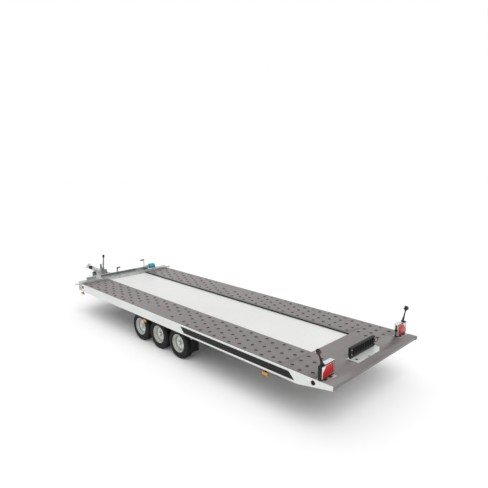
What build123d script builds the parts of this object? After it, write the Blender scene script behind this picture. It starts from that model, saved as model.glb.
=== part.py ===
from build123d import *
import os
from math import atan2, cos, degrees, hypot, pi, radians, sin

# Three-axle car transporter trailer with a tilting flat bed, in millimetres.
# +X points forwards to the coupling, +Y to the left and +Z up. The origin lies
# on the ground, in the middle of the overall length and width.

# Whole trailer
overall_length = 8460
deck_width = 2240
deck_height = 700

# Bed
deck_length = 6410
side_rail_depth = 150
side_rail_flange = 60
side_rail_web = 6
rail_lip = 12
tail_depth = 52
tail_slope_length = 530
deck_sheet = 3
flange_wall = 5
track_inner_y = 488
panel_drop = 27
rear_deck_length = 780
bearer_width = 60
bearer_depth = 40
bearer_pitch = 640
tube_wall = 4
bed_beam_y = 400
bed_beam_width = 80
bed_beam_depth = 60
front_beam_length = 145
front_beam_rise = 38
winch_rail_left = 615
winch_rail_right = 565
winch_rail_height = 62
winch_rail_width = 40

# Chassis
axle_spacing = 576
tail_to_middle_axle = 3757
rail_width = 60
rail_height = 135
bed_to_rail_gap = 5
chassis_to_front_beam = 20
crossmember_count = 7
crossmember_width = 60
crossmember_height = 90
drawbar_height = 100
drawbar_front_y = 72
drawbar_plate = 6

# Tilt of the bed
pivot_to_tail = 2707
pivot_below_chassis_top = 65
pivot_pin_radius = 15
pivot_lug = 8
pivot_lug_radius = 38
cylinder_to_pivot = 850
cylinder_foot_below_chassis = 140
cylinder_head_above_beams = 10

# Wheels
tyre_radius = 265
tyre_width = 155
tread_width = 108
rim_width = 138
rim_flange_radius = 166
bead_radius = 152
well_radius = 134
rim_wall = 4
wheel_y = 918
hub_radius = 62
hub_bore_radius = 34
drum_radius = 104
drum_depth = 68
vent_count = 8
vent_radius = 11
vent_circle = 117
cap_reach = 52
cap_radius = 30
stub_radius = 17.5
arm_drop = 70
arm_length = 165
axle_beam_size = 70
axle_beam_end = 700

# Overrun coupling
coupling_axis_above_drawbar = 50
ball_radius = 25
shaft_radius = 25
housing_front_to_nose = 350
housing_length = 560

# Jockey wheel
jockey_y = 106
jockey_to_arm_centre = 68.1132
jockey_tube_top = 700
jockey_tube_radius = 30
jockey_leg_radius = 24
jockey_wheel_radius = 105
jockey_wheel_width = 55
jockey_trail = 40

# Clearances
running_gap = 0.05
seat_gap = 0.3
moving_gap = 6

# Positions that follow from the sizes above
half_width = deck_width / 2
tail_x = -overall_length / 2
nose_x = overall_length / 2
deck_front_x = tail_x + deck_length
bed_nose_x = deck_front_x + front_beam_length
rail_bottom = deck_height - side_rail_depth
panel_top = deck_height - panel_drop
bearer_top = panel_top - deck_sheet
bearer_bottom = bearer_top - bearer_depth
beam_bottom = bearer_bottom - bed_beam_depth
chassis_top = beam_bottom - bed_to_rail_gap
chassis_bottom = chassis_top - rail_height
pivot_height = chassis_top - pivot_below_chassis_top
cylinder_foot_height = chassis_bottom - cylinder_foot_below_chassis
cylinder_head_height = bearer_bottom + cylinder_head_above_beams
arm_bottom = chassis_bottom
arm_top = arm_bottom + drawbar_height
coupling_axis_height = arm_top + coupling_axis_above_drawbar
axle_xs = [tail_x + tail_to_middle_axle + step * axle_spacing for step in (1, 0, -1)]
pivot_x = tail_x + pivot_to_tail
cylinder_x = pivot_x + cylinder_to_pivot
chassis_front_x = deck_front_x - chassis_to_front_beam
chassis_rear_x = pivot_x - pivot_lug_radius
rear_deck_front_x = tail_x + rear_deck_length
track_outer_y = half_width - rail_lip - seat_gap
inner_web_y = half_width - side_rail_web
axle_beam_z = tyre_radius + arm_drop
axle_beam_forward = (arm_length**2 - arm_drop**2) ** 0.5

os.makedirs("parts", exist_ok=True)


def save(piece, name):
    """Label a finished piece and write its STEP file."""
    piece.part.label = name
    export_step(piece.part, f"parts/{name}.step")


def mirrored(piece):
    """The same piece on the other side of the trailer."""
    with BuildPart() as twin:
        add(piece.part)
        mirror(about=Plane.XZ, mode=Mode.REPLACE)
    return twin


def block(x_low, x_high, y_low, y_high, z_low, z_high, mode=Mode.ADD):
    """Rectangular bar between six planes."""
    centre = ((x_low + x_high) / 2, (y_low + y_high) / 2, (z_low + z_high) / 2)
    with Locations(centre):
        Box(x_high - x_low, y_high - y_low, z_high - z_low, mode=mode)


def tube_along_y(x, z, width, depth, wall, y_low, y_high):
    """Rectangular tube across the trailer, centred on x and z."""
    with BuildSketch(Plane.XZ.offset(-y_high)) as section:
        with Locations((x, z)):
            Rectangle(width, depth)
            Rectangle(width - 2 * wall, depth - 2 * wall, mode=Mode.SUBTRACT)
    extrude(section.sketch, amount=y_high - y_low)


def tube_along_x(y, z, width, depth, wall, x_low, x_high):
    """Rectangular tube along the trailer, centred on y and z."""
    with BuildSketch(Plane.YZ.offset(x_low)) as section:
        with Locations((y, z)):
            Rectangle(width, depth)
            Rectangle(width - 2 * wall, depth - 2 * wall, mode=Mode.SUBTRACT)
    extrude(section.sketch, amount=x_high - x_low)


def rod_along_y(x, z, radius, y_low, y_high, mode=Mode.ADD):
    """Round bar across the trailer."""
    with BuildSketch(Plane.XZ.offset(-y_high)) as section:
        with Locations((x, z)):
            Circle(radius)
    extrude(section.sketch, amount=y_high - y_low, mode=mode)


def plate_along_y(points, y_low, y_high, mode=Mode.ADD):
    """Flat plate with an outline in X and Z, between two Y planes."""
    with BuildSketch(Plane.XZ.offset(-y_high)) as section:
        with BuildLine():
            Polyline(*points, close=True)
        make_face()
    extrude(section.sketch, amount=y_high - y_low, mode=mode)


# ---------------------------------------------------------------- bed: side rails
tail_bend_x = tail_x + tail_slope_length
tie_hole_radius = 22
tie_hole_x = (tail_x + 290, deck_front_x - 45)
tie_hole_z = (deck_height - 49, deck_height - 60)
strip_recess = 3
strip_top = deck_height - 25
strip_bottom = deck_height - 122
strip_front_x = tail_x + 2935
strip_rear_x = tail_x + 672
strip_slant = 96
strip_outline = [
    (strip_rear_x, strip_top),
    (strip_front_x, strip_top),
    (strip_front_x - strip_slant, strip_bottom),
    (strip_rear_x - strip_slant, strip_bottom),
]
rail_top = deck_height - deck_sheet
rail_outline = [
    (tail_x, rail_top),
    (deck_front_x, rail_top),
    (deck_front_x, rail_bottom),
    (tail_bend_x, rail_bottom),
    (tail_x, deck_height - tail_depth),
]
rail_inner_y = half_width - side_rail_flange

with BuildPart() as side_rail_left:
    plate_along_y(rail_outline, rail_inner_y, half_width)
    # channel open to the inside
    with BuildSketch(Plane.XZ.offset(-inner_web_y)):
        with BuildLine():
            Polyline(*rail_outline, close=True)
        make_face()
        offset(amount=-flange_wall, kind=Kind.INTERSECTION)
    extrude(amount=side_rail_flange, mode=Mode.SUBTRACT)
    # lip that covers the edge of the deck sheet
    block(tail_x, deck_front_x, half_width - rail_lip, half_width, rail_top, deck_height)
    plate_along_y(strip_outline, half_width - strip_recess, half_width, mode=Mode.SUBTRACT)
    for hole_x, hole_z in zip(tie_hole_x, tie_hole_z):
        rod_along_y(hole_x, hole_z, tie_hole_radius, rail_inner_y, half_width, mode=Mode.SUBTRACT)
save(side_rail_left, "side_rail_left")
save(mirrored(side_rail_left), "side_rail_right")

strip_thickness = 2.5
strip_edge = 1
with BuildPart() as side_strips:
    strip_base = half_width - strip_recess
    with BuildSketch(Plane.XZ.offset(-(strip_base + strip_thickness))):
        with BuildLine():
            Polyline(*strip_outline, close=True)
        make_face()
        offset(amount=-strip_edge, kind=Kind.INTERSECTION)
    extrude(amount=strip_thickness)
    mirror(about=Plane.XZ)
save(side_strips, "side_strips")

# ---------------------------------------------------------------- bed: frame
bearer_xs = []
bearer_x = deck_front_x - flange_wall - bearer_width / 2
while bearer_x > tail_x + 120:
    bearer_xs.append(bearer_x)
    bearer_x -= bearer_pitch

with BuildPart() as cross_bearers:
    for bearer_x in bearer_xs:
        tube_along_y(bearer_x, bearer_top - bearer_depth / 2, bearer_width, bearer_depth,
                     tube_wall, -inner_web_y, inner_web_y)
save(cross_bearers, "cross_bearers")

bed_beam_rear_x = min(bearer_xs) + bearer_pitch - bearer_width / 2
lug_outer_y = bed_beam_y + bed_beam_width / 2 + pivot_lug
lug_inner_y = bed_beam_y - bed_beam_width / 2 - pivot_lug
lug_half_length = 110
with BuildPart() as bed_beams:
    tube_along_x(bed_beam_y, beam_bottom + bed_beam_depth / 2, bed_beam_width, bed_beam_depth,
                 tube_wall, bed_beam_rear_x, deck_front_x)
    # pivot lugs welded to both sides of the beam
    lug_points = [
        (pivot_x - lug_half_length, bearer_bottom),
        (pivot_x + lug_half_length, bearer_bottom),
        (pivot_x + lug_half_length, beam_bottom),
        (pivot_x + pivot_lug_radius, pivot_height),
        (pivot_x - pivot_lug_radius, pivot_height),
        (pivot_x - lug_half_length, beam_bottom),
    ]
    for y_low in (lug_inner_y, lug_outer_y - pivot_lug):
        plate_along_y(lug_points, y_low, y_low + pivot_lug)
        rod_along_y(pivot_x, pivot_height, pivot_lug_radius, y_low, y_low + pivot_lug)
    rod_along_y(pivot_x, pivot_height, pivot_pin_radius + running_gap, lug_inner_y, lug_outer_y,
                mode=Mode.SUBTRACT)
    mirror(about=Plane.XZ)
save(bed_beams, "bed_beams")

# ---------------------------------------------------------------- bed: deck
rib_wall = 3
rib_ys = (track_inner_y + 200, track_inner_y + 400)
with BuildPart() as track_left:
    # folded wheel track: top sheet, edge flange and two stiffening ribs
    block(rear_deck_front_x + seat_gap, deck_front_x, track_inner_y, track_outer_y,
          deck_height - deck_sheet, deck_height)
    for rib_y in (track_inner_y,) + rib_ys:
        block(rear_deck_front_x + seat_gap, deck_front_x, rib_y, rib_y + rib_wall,
              bearer_top, deck_height - deck_sheet)
save(track_left, "track_left")
save(mirrored(track_left), "track_right")

with BuildPart() as centre_panel:
    block(rear_deck_front_x + seat_gap, deck_front_x, -track_inner_y + deck_sheet,
          track_inner_y - deck_sheet, bearer_top, panel_top)
save(centre_panel, "centre_panel")

tail_fold = 44
deck_rib_ys = (-800, -400, 0, 400, 800)
with BuildPart() as rear_deck:
    block(tail_x, rear_deck_front_x, -track_outer_y, track_outer_y,
          deck_height - deck_sheet, deck_height)
    # front flange down to the centre panel, and the folded tail edge
    block(rear_deck_front_x - rib_wall, rear_deck_front_x, -rail_inner_y, rail_inner_y,
          bearer_top, deck_height - deck_sheet)
    block(tail_x, tail_x + rib_wall, -rail_inner_y + seat_gap, rail_inner_y - seat_gap,
          deck_height - tail_fold, deck_height - deck_sheet)
    for rib_y in deck_rib_ys:
        block(tail_x + rib_wall, rear_deck_front_x - rib_wall, rib_y, rib_y + rib_wall,
              bearer_top, deck_height - deck_sheet)
save(rear_deck, "rear_deck")

# ---------------------------------------------------------------- bed: front beam
front_beam_top = deck_height + front_beam_rise
with BuildPart() as front_beam:
    tube_along_y(deck_front_x + front_beam_length / 2, (front_beam_top + rail_bottom) / 2,
                 front_beam_length, front_beam_top - rail_bottom, tube_wall,
                 -half_width, half_width)
    for end_y in (half_width - tube_wall, -half_width):
        block(deck_front_x + tube_wall, bed_nose_x - tube_wall, end_y, end_y + tube_wall,
              rail_bottom + tube_wall, front_beam_top - tube_wall)
    # drain openings in the underside
    with Locations([(deck_front_x + front_beam_length / 2, y, rail_bottom) for y in (-900, 0, 900)]):
        Cylinder(12, 3 * tube_wall, mode=Mode.SUBTRACT)
save(front_beam, "front_beam")

winch_rail_front_x = bed_nose_x
slot_y = -370
slot_length = 100
slot_height = 26
with BuildPart() as winch_rail:
    tube_along_y(winch_rail_front_x - winch_rail_width / 2, front_beam_top + winch_rail_height / 2,
                 winch_rail_width, winch_rail_height, tube_wall, -winch_rail_right, winch_rail_left)
    # slot that the winch strap can be led through
    block(winch_rail_front_x - winch_rail_width, winch_rail_front_x, slot_y - slot_length / 2,
          slot_y + slot_length / 2, front_beam_top + winch_rail_height / 2 - slot_height / 2,
          front_beam_top + winch_rail_height / 2 + slot_height / 2, mode=Mode.SUBTRACT)
save(winch_rail, "winch_rail")

# ---------------------------------------------------------------- bed: winch
winch_x = deck_front_x + 51
winch_z = front_beam_top + 76
winch_left_y = -560
winch_right_y = -772
cheek = 5
cheek_half_length = 50
cheek_radius = 34
winch_shaft_radius = 10
drum_core_radius = 22
strap_radius = 58
lever_y = -478
lever_length = 185
with BuildPart() as winch_frame:
    block(winch_x - cheek_half_length, winch_x + cheek_half_length, winch_right_y, winch_left_y,
          front_beam_top, front_beam_top + cheek)
    cheek_points = [
        (winch_x - cheek_half_length, front_beam_top + cheek),
        (winch_x + cheek_half_length, front_beam_top + cheek),
        (winch_x + cheek_radius, winch_z),
        (winch_x - cheek_radius, winch_z),
    ]
    for y_low in (winch_right_y, winch_left_y - cheek):
        plate_along_y(cheek_points, y_low, y_low + cheek)
        rod_along_y(winch_x, winch_z, cheek_radius, y_low, y_low + cheek)
    rod_along_y(winch_x, winch_z, winch_shaft_radius + running_gap, winch_right_y, winch_left_y,
                mode=Mode.SUBTRACT)
save(winch_frame, "winch_frame")

shaft_collar = 14
with BuildPart() as winch_drum:
    rod_along_y(winch_x, winch_z, winch_shaft_radius, winch_right_y - 12, lever_y + 16)
    rod_along_y(winch_x, winch_z, drum_core_radius, winch_right_y + cheek + 1, winch_left_y - cheek - 1)
    rod_along_y(winch_x, winch_z, shaft_collar, lever_y - 34, lever_y - 7)
save(winch_drum, "winch_drum")

strap_side_gap = 10
with BuildPart() as winch_strap:
    strap_low = winch_right_y + cheek + strap_side_gap
    strap_high = winch_left_y - cheek - strap_side_gap
    rod_along_y(winch_x, winch_z, strap_radius, strap_low, strap_high)
    rod_along_y(winch_x, winch_z, drum_core_radius + running_gap, strap_low, strap_high,
                mode=Mode.SUBTRACT)
save(winch_strap, "winch_strap")

lever_plate = 8
with BuildPart() as winch_lever:
    # ratchet lever with a grip that stands out to the left
    rod_along_y(winch_x, winch_z, 20, lever_y - lever_plate / 2, lever_y + lever_plate / 2)
    block(winch_x - 9, winch_x + 9, lever_y - lever_plate / 2, lever_y + lever_plate / 2,
          winch_z + 10, winch_z + lever_length)
    rod_along_y(winch_x, winch_z + lever_length - 12, 13, lever_y, lever_y + 95)
    rod_along_y(winch_x, winch_z, winch_shaft_radius + running_gap, lever_y - lever_plate / 2,
                lever_y + lever_plate / 2, mode=Mode.SUBTRACT)
save(winch_lever, "winch_lever")

# ---------------------------------------------------------------- bed: lamps
marker_xs = (deck_front_x + 33, axle_xs[1] + 262, tail_x + 1092)
marker_length = 95
marker_height = 40
marker_thickness = 22
marker_drop = 45
marker_y = half_width - 34
bracket_thickness = 4
with BuildPart() as marker_brackets:
    for marker_x in marker_xs:
        block(marker_x - 16, marker_x + 16, marker_y - bracket_thickness, marker_y,
              rail_bottom - marker_drop - marker_height + 8, rail_bottom)
    mirror(about=Plane.XZ)
save(marker_brackets, "marker_brackets")

with BuildPart() as marker_lamps:
    for marker_x in marker_xs:
        lamp_z = rail_bottom - marker_drop - marker_height / 2
        with BuildSketch(Plane.XZ.offset(-marker_y)):
            with Locations((marker_x, lamp_z)):
                RectangleRounded(marker_length, marker_height, 8)
        extrude(amount=-marker_thickness)
    mirror(about=Plane.XZ)
save(marker_lamps, "marker_lamps")

front_lamp_reach = 118
front_lamp_x = deck_front_x + 60
front_lamp_z = deck_height + 4
with BuildPart() as front_lamps:
    rod_along_y(front_lamp_x, front_lamp_z, 9, half_width, half_width + front_lamp_reach - 20)
    rod_along_y(front_lamp_x, front_lamp_z, 21, half_width + front_lamp_reach - 46,
                half_width + front_lamp_reach)
    mirror(about=Plane.XZ)
save(front_lamps, "front_lamps")

# ---------------------------------------------------------------- bed: rear lights
light_width = 275
light_outer_y = half_width - 8
light_inner_y = light_outer_y - light_width
light_depth = 100
light_rear_x = tail_x + 132
light_front_x = light_rear_x + light_depth
light_bottom = deck_height + 10
light_height = 182
hinge_x = light_front_x + 14
hinge_z = deck_height + 16
hinge_pin_radius = 4
hinge_ear = 5
knuckle_radius = 8
hinge_plate = 3
hinge_plate_margin = 10
hinge_plate_front = 22
hinge_inset = 30
with BuildPart() as light_hinges:
    # deck plates with two ears and a hinge pin on each side
    block(light_rear_x, hinge_x + hinge_plate_front, light_inner_y + hinge_plate_margin,
          light_outer_y - hinge_plate_margin, deck_height, deck_height + hinge_plate)
    for ear_y in (light_inner_y + hinge_inset, light_outer_y - hinge_inset - hinge_ear):
        block(hinge_x - knuckle_radius, hinge_x + knuckle_radius, ear_y, ear_y + hinge_ear,
              deck_height + hinge_plate, hinge_z)
        rod_along_y(hinge_x, hinge_z, knuckle_radius, ear_y, ear_y + hinge_ear)
    rod_along_y(hinge_x, hinge_z, hinge_pin_radius, light_inner_y + hinge_inset,
                light_outer_y - hinge_inset)
    mirror(about=Plane.XZ)
save(light_hinges, "light_hinges")

lens_margin = 14
lens_depth = 14
lens_rim = 4
lens_gap = 0.2
lens_corner = 6
stalk_lean = 26
stalk_length = 245
stalk_inset = 20
stalk_to_side = 62
stalk_sunk = 12
stalk_radius = 10
stalk_foot_radius = 24
stalk_foot_height = 18
stalk_cone_radius = 17
stalk_cone_length = 120
stalk_head_radius = 18
stalk_head_length = 48
light_top = light_bottom + light_height
with BuildPart() as light_housing_left:
    block(light_rear_x + lens_depth, light_front_x, light_inner_y, light_outer_y, light_bottom, light_top)
    # rim round the lens
    block(light_rear_x + lens_rim, light_rear_x + lens_depth, light_inner_y, light_outer_y,
          light_bottom, light_top)
    block(light_rear_x, light_rear_x + lens_depth, light_inner_y + lens_margin,
          light_outer_y - lens_margin, light_bottom + lens_margin, light_top - lens_margin,
          mode=Mode.SUBTRACT)
    # hinge knuckle between the ears
    knuckle_low = light_inner_y + hinge_inset + hinge_ear + 1
    knuckle_high = light_outer_y - hinge_inset - hinge_ear - 1
    rod_along_y(hinge_x, hinge_z, knuckle_radius, knuckle_low, knuckle_high)
    plate_along_y([(light_front_x, light_bottom + 10), (hinge_x + 6, hinge_z + 5),
                   (hinge_x - 6, hinge_z - 5), (light_front_x - 10, light_bottom)],
                  knuckle_low, knuckle_high)
    rod_along_y(hinge_x, hinge_z, hinge_pin_radius + running_gap, knuckle_low, knuckle_high,
                mode=Mode.SUBTRACT)
    # rubber stalk that leans outwards: foot, tapering shank and lamp head
    stalk_base = (light_front_x - stalk_inset, light_outer_y - stalk_to_side, light_top)
    stalk_plane = Plane(origin=stalk_base, x_dir=(1, 0, 0),
                        z_dir=(0, sin(radians(stalk_lean)), cos(radians(stalk_lean))))
    with BuildSketch(stalk_plane.offset(-stalk_sunk)):
        Circle(stalk_foot_radius)
    extrude(amount=stalk_sunk + stalk_foot_height)
    with BuildSketch(stalk_plane.offset(stalk_foot_height)):
        Circle(stalk_cone_radius)
    with BuildSketch(stalk_plane.offset(stalk_cone_length)):
        Circle(stalk_radius)
    loft()
    with BuildSketch(stalk_plane.offset(stalk_cone_length)):
        Circle(stalk_radius)
    extrude(amount=stalk_length - stalk_cone_length - stalk_head_length)
    with BuildSketch(stalk_plane.offset(stalk_length - stalk_head_length)):
        Circle(stalk_head_radius)
    extrude(amount=stalk_head_length)
save(light_housing_left, "light_housing_left")
save(mirrored(light_housing_left), "light_housing_right")

with BuildPart() as light_lens_left:
    with BuildSketch(Plane.YZ.offset(light_rear_x + lens_depth)):
        with Locations(((light_inner_y + light_outer_y) / 2, light_bottom + light_height / 2)):
            RectangleRounded(light_width - 2 * lens_margin - 2 * lens_gap,
                             light_height - 2 * lens_margin - 2 * lens_gap, lens_corner)
    extrude(amount=-lens_depth)
save(light_lens_left, "light_lens_left")
save(mirrored(light_lens_left), "light_lens_right")

# ---------------------------------------------------------------- bed: number plate holder
holder_half_width = 318
holder_hinge_x = tail_x + 300
holder_hinge_z = deck_height + 20
holder_thickness = 40
holder_front_x = holder_hinge_x + 6
holder_rear_x = holder_front_x - holder_thickness
holder_height = 135
holder_foot = 8
holder_end = 40
holder_rib = 12
holder_bars = 9
window_bottom = 26
window_top = 16
window_corner = 9
holder_ear = 10
holder_ear_radius = 9
holder_ear_gap = 6
holder_pin_radius = 4
base_length = 165
base_front = 20
base_half_width = 340
base_cut_length = 70
base_cut_width = 130
base_hole_radius = 14
base_hole_y = 264
base_hole_to_hinge = 90
base_notch_y = 50
base_notch_width = 36
base_notch_depth = 30
with BuildPart() as plate_base:
    base_rear_x = holder_hinge_x - base_length
    block(base_rear_x, holder_hinge_x + base_front, -base_half_width, base_half_width,
          deck_height, deck_height + deck_sheet)
    with Locations((holder_hinge_x - base_hole_to_hinge, base_hole_y, deck_height)):
        Cylinder(base_hole_radius, 4 * deck_sheet, mode=Mode.SUBTRACT)
    block(base_rear_x, base_rear_x + base_notch_depth, base_notch_y - base_notch_width / 2,
          base_notch_y + base_notch_width / 2, deck_height, deck_height + deck_sheet, mode=Mode.SUBTRACT)
    # right rear corner cut back
    with BuildSketch(Plane.XY.offset(deck_height)):
        with BuildLine():
            Polyline((base_rear_x, -base_half_width), (base_rear_x + base_cut_length, -base_half_width),
                     (base_rear_x, base_cut_width - base_half_width), close=True)
        make_face()
    extrude(amount=deck_sheet, mode=Mode.SUBTRACT)
    for end in (-1, 1):
        ear_low = end * (holder_half_width + holder_ear_gap + holder_ear / 2) - holder_ear / 2
        block(holder_hinge_x - holder_ear_radius, holder_hinge_x + holder_ear_radius, ear_low,
              ear_low + holder_ear, deck_height + deck_sheet, holder_hinge_z)
        rod_along_y(holder_hinge_x, holder_hinge_z, holder_ear_radius, ear_low, ear_low + holder_ear)
    rod_along_y(holder_hinge_x, holder_hinge_z, holder_pin_radius, -holder_half_width - holder_ear,
                holder_half_width + holder_ear)
save(plate_base, "plate_base")

with BuildPart() as plate_holder:
    # grid of upright bars between two solid end blocks
    window_width = (2 * (holder_half_width - holder_end) - (holder_bars - 1) * holder_rib) / holder_bars
    window_height = holder_height - window_bottom - window_top
    window_pitch = window_width + holder_rib
    with BuildSketch(Plane.YZ.offset(holder_rear_x)):
        with Locations((0, holder_hinge_z + (holder_height - holder_foot) / 2)):
            Rectangle(2 * holder_half_width, holder_height + holder_foot)
        with Locations((0, holder_hinge_z + window_bottom + window_height / 2)):
            with GridLocations(window_pitch, window_height, holder_bars, 1):
                RectangleRounded(window_width, window_height, window_corner, mode=Mode.SUBTRACT)
    extrude(amount=holder_thickness)
    rod_along_y(holder_hinge_x, holder_hinge_z, holder_pin_radius + running_gap, -holder_half_width,
                holder_half_width, mode=Mode.SUBTRACT)
save(plate_holder, "plate_holder")

# ---------------------------------------------------------------- chassis: rails
rail_inner = bed_beam_y - rail_width / 2
rail_outer = bed_beam_y + rail_width / 2
flap_x = axle_xs[2] - tyre_radius - 85
outrigger = 30
flap_outer_y = wheel_y + tyre_width / 2
with BuildPart() as chassis_rails:
    tube_along_x(bed_beam_y, (chassis_top + chassis_bottom) / 2, rail_width, rail_height,
                 tube_wall, chassis_rear_x, chassis_front_x)
    # rear end cut back below the tilting bed
    plate_along_y([(chassis_rear_x, chassis_top), (pivot_x + 60, chassis_top),
                   (pivot_x, chassis_top - 16), (chassis_rear_x, chassis_top - 28)],
                  rail_inner, rail_outer, mode=Mode.SUBTRACT)
    # boss and pin that the bed turns on
    rod_along_y(pivot_x, pivot_height, pivot_pin_radius + 10, rail_inner, rail_outer)
    rod_along_y(pivot_x, pivot_height, pivot_pin_radius, lug_inner_y - 6, lug_outer_y + 6)
    # outrigger for the mud flap
    tube_along_y(flap_x, chassis_bottom + outrigger, outrigger, outrigger, 3,
                 rail_outer, flap_outer_y)
    mirror(about=Plane.XZ)
save(chassis_rails, "chassis_rails")

crossmember_front_x = chassis_front_x - crossmember_width
crossmember_rear_x = pivot_x + lug_half_length + crossmember_width
crossmember_pitch = (crossmember_front_x - crossmember_rear_x) / (crossmember_count - 1)
crossmember_xs = [crossmember_front_x - i * crossmember_pitch for i in range(crossmember_count)]
crossmember_z = chassis_bottom + 20 + crossmember_height / 2
foot_pin_radius = 12
foot_ear = 8
barrel_eye_half = 36
foot_member_x = max(x for x in crossmember_xs if x < cylinder_x)
with BuildPart() as chassis_crossmembers:
    for crossmember_x in crossmember_xs:
        tube_along_y(crossmember_x, crossmember_z, crossmember_width, crossmember_height,
                     tube_wall, -rail_inner, rail_inner)
    # cradle that carries the foot of the tilt cylinder
    cradle_x = foot_member_x + crossmember_width / 2
    cradle_points = [
        (cradle_x, crossmember_z - crossmember_height / 2),
        (cradle_x, crossmember_z + crossmember_height / 2),
        (cylinder_x + 26, cylinder_foot_height),
        (cylinder_x - 26, cylinder_foot_height),
    ]
    for ear_low in (barrel_eye_half + 2, -barrel_eye_half - 2 - foot_ear):
        plate_along_y(cradle_points, ear_low, ear_low + foot_ear)
        rod_along_y(cylinder_x, cylinder_foot_height, 26, ear_low, ear_low + foot_ear)
    rod_along_y(cylinder_x, cylinder_foot_height, foot_pin_radius,
                -barrel_eye_half - 2 - foot_ear, barrel_eye_half + 2 + foot_ear)
save(chassis_crossmembers, "chassis_crossmembers")

# ---------------------------------------------------------------- chassis: drawbar
arm_front_x = nose_x - 480
head_plate_rear_x = arm_front_x - 425
shelf_rear_x = chassis_front_x + 420
shelf_length = 190


def arm_centre_y(x):
    """Centre line of the left drawbar arm."""
    share = (x - chassis_front_x) / (arm_front_x - chassis_front_x)
    return bed_beam_y + share * (drawbar_front_y - bed_beam_y)


with BuildPart() as drawbar_frame:
    # two converging tubes
    for wall, z_low, z_high, mode in ((0, arm_bottom, arm_top, Mode.ADD),
                                      (tube_wall, arm_bottom + tube_wall, arm_top - tube_wall,
                                       Mode.SUBTRACT)):
        with BuildSketch(Plane.XY.offset(z_low)):
            with BuildLine():
                Polyline(
                    (chassis_front_x, bed_beam_y - rail_width / 2 + wall),
                    (arm_front_x, drawbar_front_y - rail_width / 2 + wall),
                    (arm_front_x, drawbar_front_y + rail_width / 2 - wall),
                    (chassis_front_x, bed_beam_y + rail_width / 2 - wall),
                    close=True,
                )
            make_face()
        extrude(amount=z_high - z_low, mode=mode)
    mirror(about=Plane.XZ)
    # head plates above and below, and the shelf for the hand pump
    for z_low in (arm_top, arm_bottom - drawbar_plate):
        with BuildSketch(Plane.XY.offset(z_low)):
            with BuildLine():
                rear_y = arm_centre_y(head_plate_rear_x) + rail_width / 2
                front_y = drawbar_front_y + rail_width / 2
                Polyline((head_plate_rear_x, -rear_y), (arm_front_x, -front_y),
                         (arm_front_x, front_y), (head_plate_rear_x, rear_y), close=True)
            make_face()
        extrude(amount=drawbar_plate)
    shelf_y = arm_centre_y(shelf_rear_x + shelf_length)
    block(shelf_rear_x, shelf_rear_x + shelf_length, -shelf_y, shelf_y, arm_top,
          arm_top + drawbar_plate)
save(drawbar_frame, "drawbar_frame")

# ---------------------------------------------------------------- chassis: overrun device
housing_front_x = nose_x - housing_front_to_nose
housing_rear_x = housing_front_x - housing_length
housing_base = arm_top + drawbar_plate
housing_half_width = 46
housing_radius = 40
lever_pivot_x = housing_rear_x - 60
lever_pivot_z = housing_base + 52
quadrant = 8
quadrant_y = 30
quadrant_radius = 92
quadrant_teeth = 14
quadrant_start = -22
tooth_angle = 6
tooth_depth = 6
bracket_reach = 60
bracket_height = 96
bracket_heel = 40
foot_flange = 34
foot_thickness = 10
lever_pin_radius = 9
lever_thickness = 22
shaft_seat = 40


def around_lever(radius, angle):
    """Point in X and Z at a radius from the lever pivot, its angle from upright towards the front."""
    return (lever_pivot_x + radius * sin(radians(angle)), lever_pivot_z + radius * cos(radians(angle)))


with BuildPart() as overrun_housing:
    # tube on a bolted foot
    with BuildSketch(Plane.YZ.offset(housing_rear_x)):
        with Locations((0, coupling_axis_height)):
            Circle(housing_radius)
        with Locations((0, (housing_base + coupling_axis_height) / 2)):
            Rectangle(2 * housing_radius - quadrant, coupling_axis_height - housing_base)
    extrude(amount=housing_length)
    block(housing_rear_x, arm_front_x, -housing_half_width - foot_flange, housing_half_width + foot_flange,
          housing_base, housing_base + foot_thickness)
    # left cheek with the toothed quadrant that the handbrake lever locks in
    bracket_front_x = housing_rear_x + bracket_reach
    bracket_rear_x = lever_pivot_x - bracket_reach
    quadrant_points = [(bracket_front_x, housing_base), (bracket_rear_x, housing_base),
                       (bracket_rear_x, housing_base + bracket_heel)]
    for tooth in range(quadrant_teeth):
        tooth_start = quadrant_start + tooth * tooth_angle
        quadrant_points.append(around_lever(quadrant_radius, tooth_start))
        quadrant_points.append(around_lever(quadrant_radius, tooth_start + tooth_angle / 2))
        quadrant_points.append(around_lever(quadrant_radius - tooth_depth, tooth_start + tooth_angle / 2))
    plate_along_y(quadrant_points, quadrant_y, quadrant_y + quadrant)
    # plain right cheek and the floor between them
    plate_along_y([(bracket_front_x, housing_base), (bracket_rear_x, housing_base),
                   (bracket_rear_x, housing_base + bracket_heel),
                   (lever_pivot_x, housing_base + bracket_height + bracket_heel),
                   (bracket_front_x, housing_base + bracket_height)],
                  -quadrant_y - quadrant, -quadrant_y)
    block(bracket_rear_x, housing_rear_x, -quadrant_y, quadrant_y, housing_base, housing_base + quadrant)
    rod_along_y(lever_pivot_x, lever_pivot_z, lever_pin_radius, -quadrant_y,
                quadrant_y + quadrant + moving_gap + lever_thickness)
    with BuildSketch(Plane.YZ.offset(housing_front_x)):
        with Locations((0, coupling_axis_height)):
            Circle(shaft_radius + running_gap)
    extrude(amount=shaft_seat - housing_length, mode=Mode.SUBTRACT)
save(overrun_housing, "overrun_housing")

ball_x = nose_x - 50
ball_z = coupling_axis_height - 14
ball_to_sleeve = 110
head_rear_x = ball_x - ball_to_sleeve
shaft_rear_x = housing_rear_x + 2 * shaft_seat
with BuildPart() as overrun_shaft:
    with BuildSketch(Plane.YZ.offset(shaft_rear_x)):
        with Locations((0, coupling_axis_height)):
            Circle(shaft_radius)
    extrude(amount=head_rear_x - shaft_rear_x)
save(overrun_shaft, "overrun_shaft")

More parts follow.
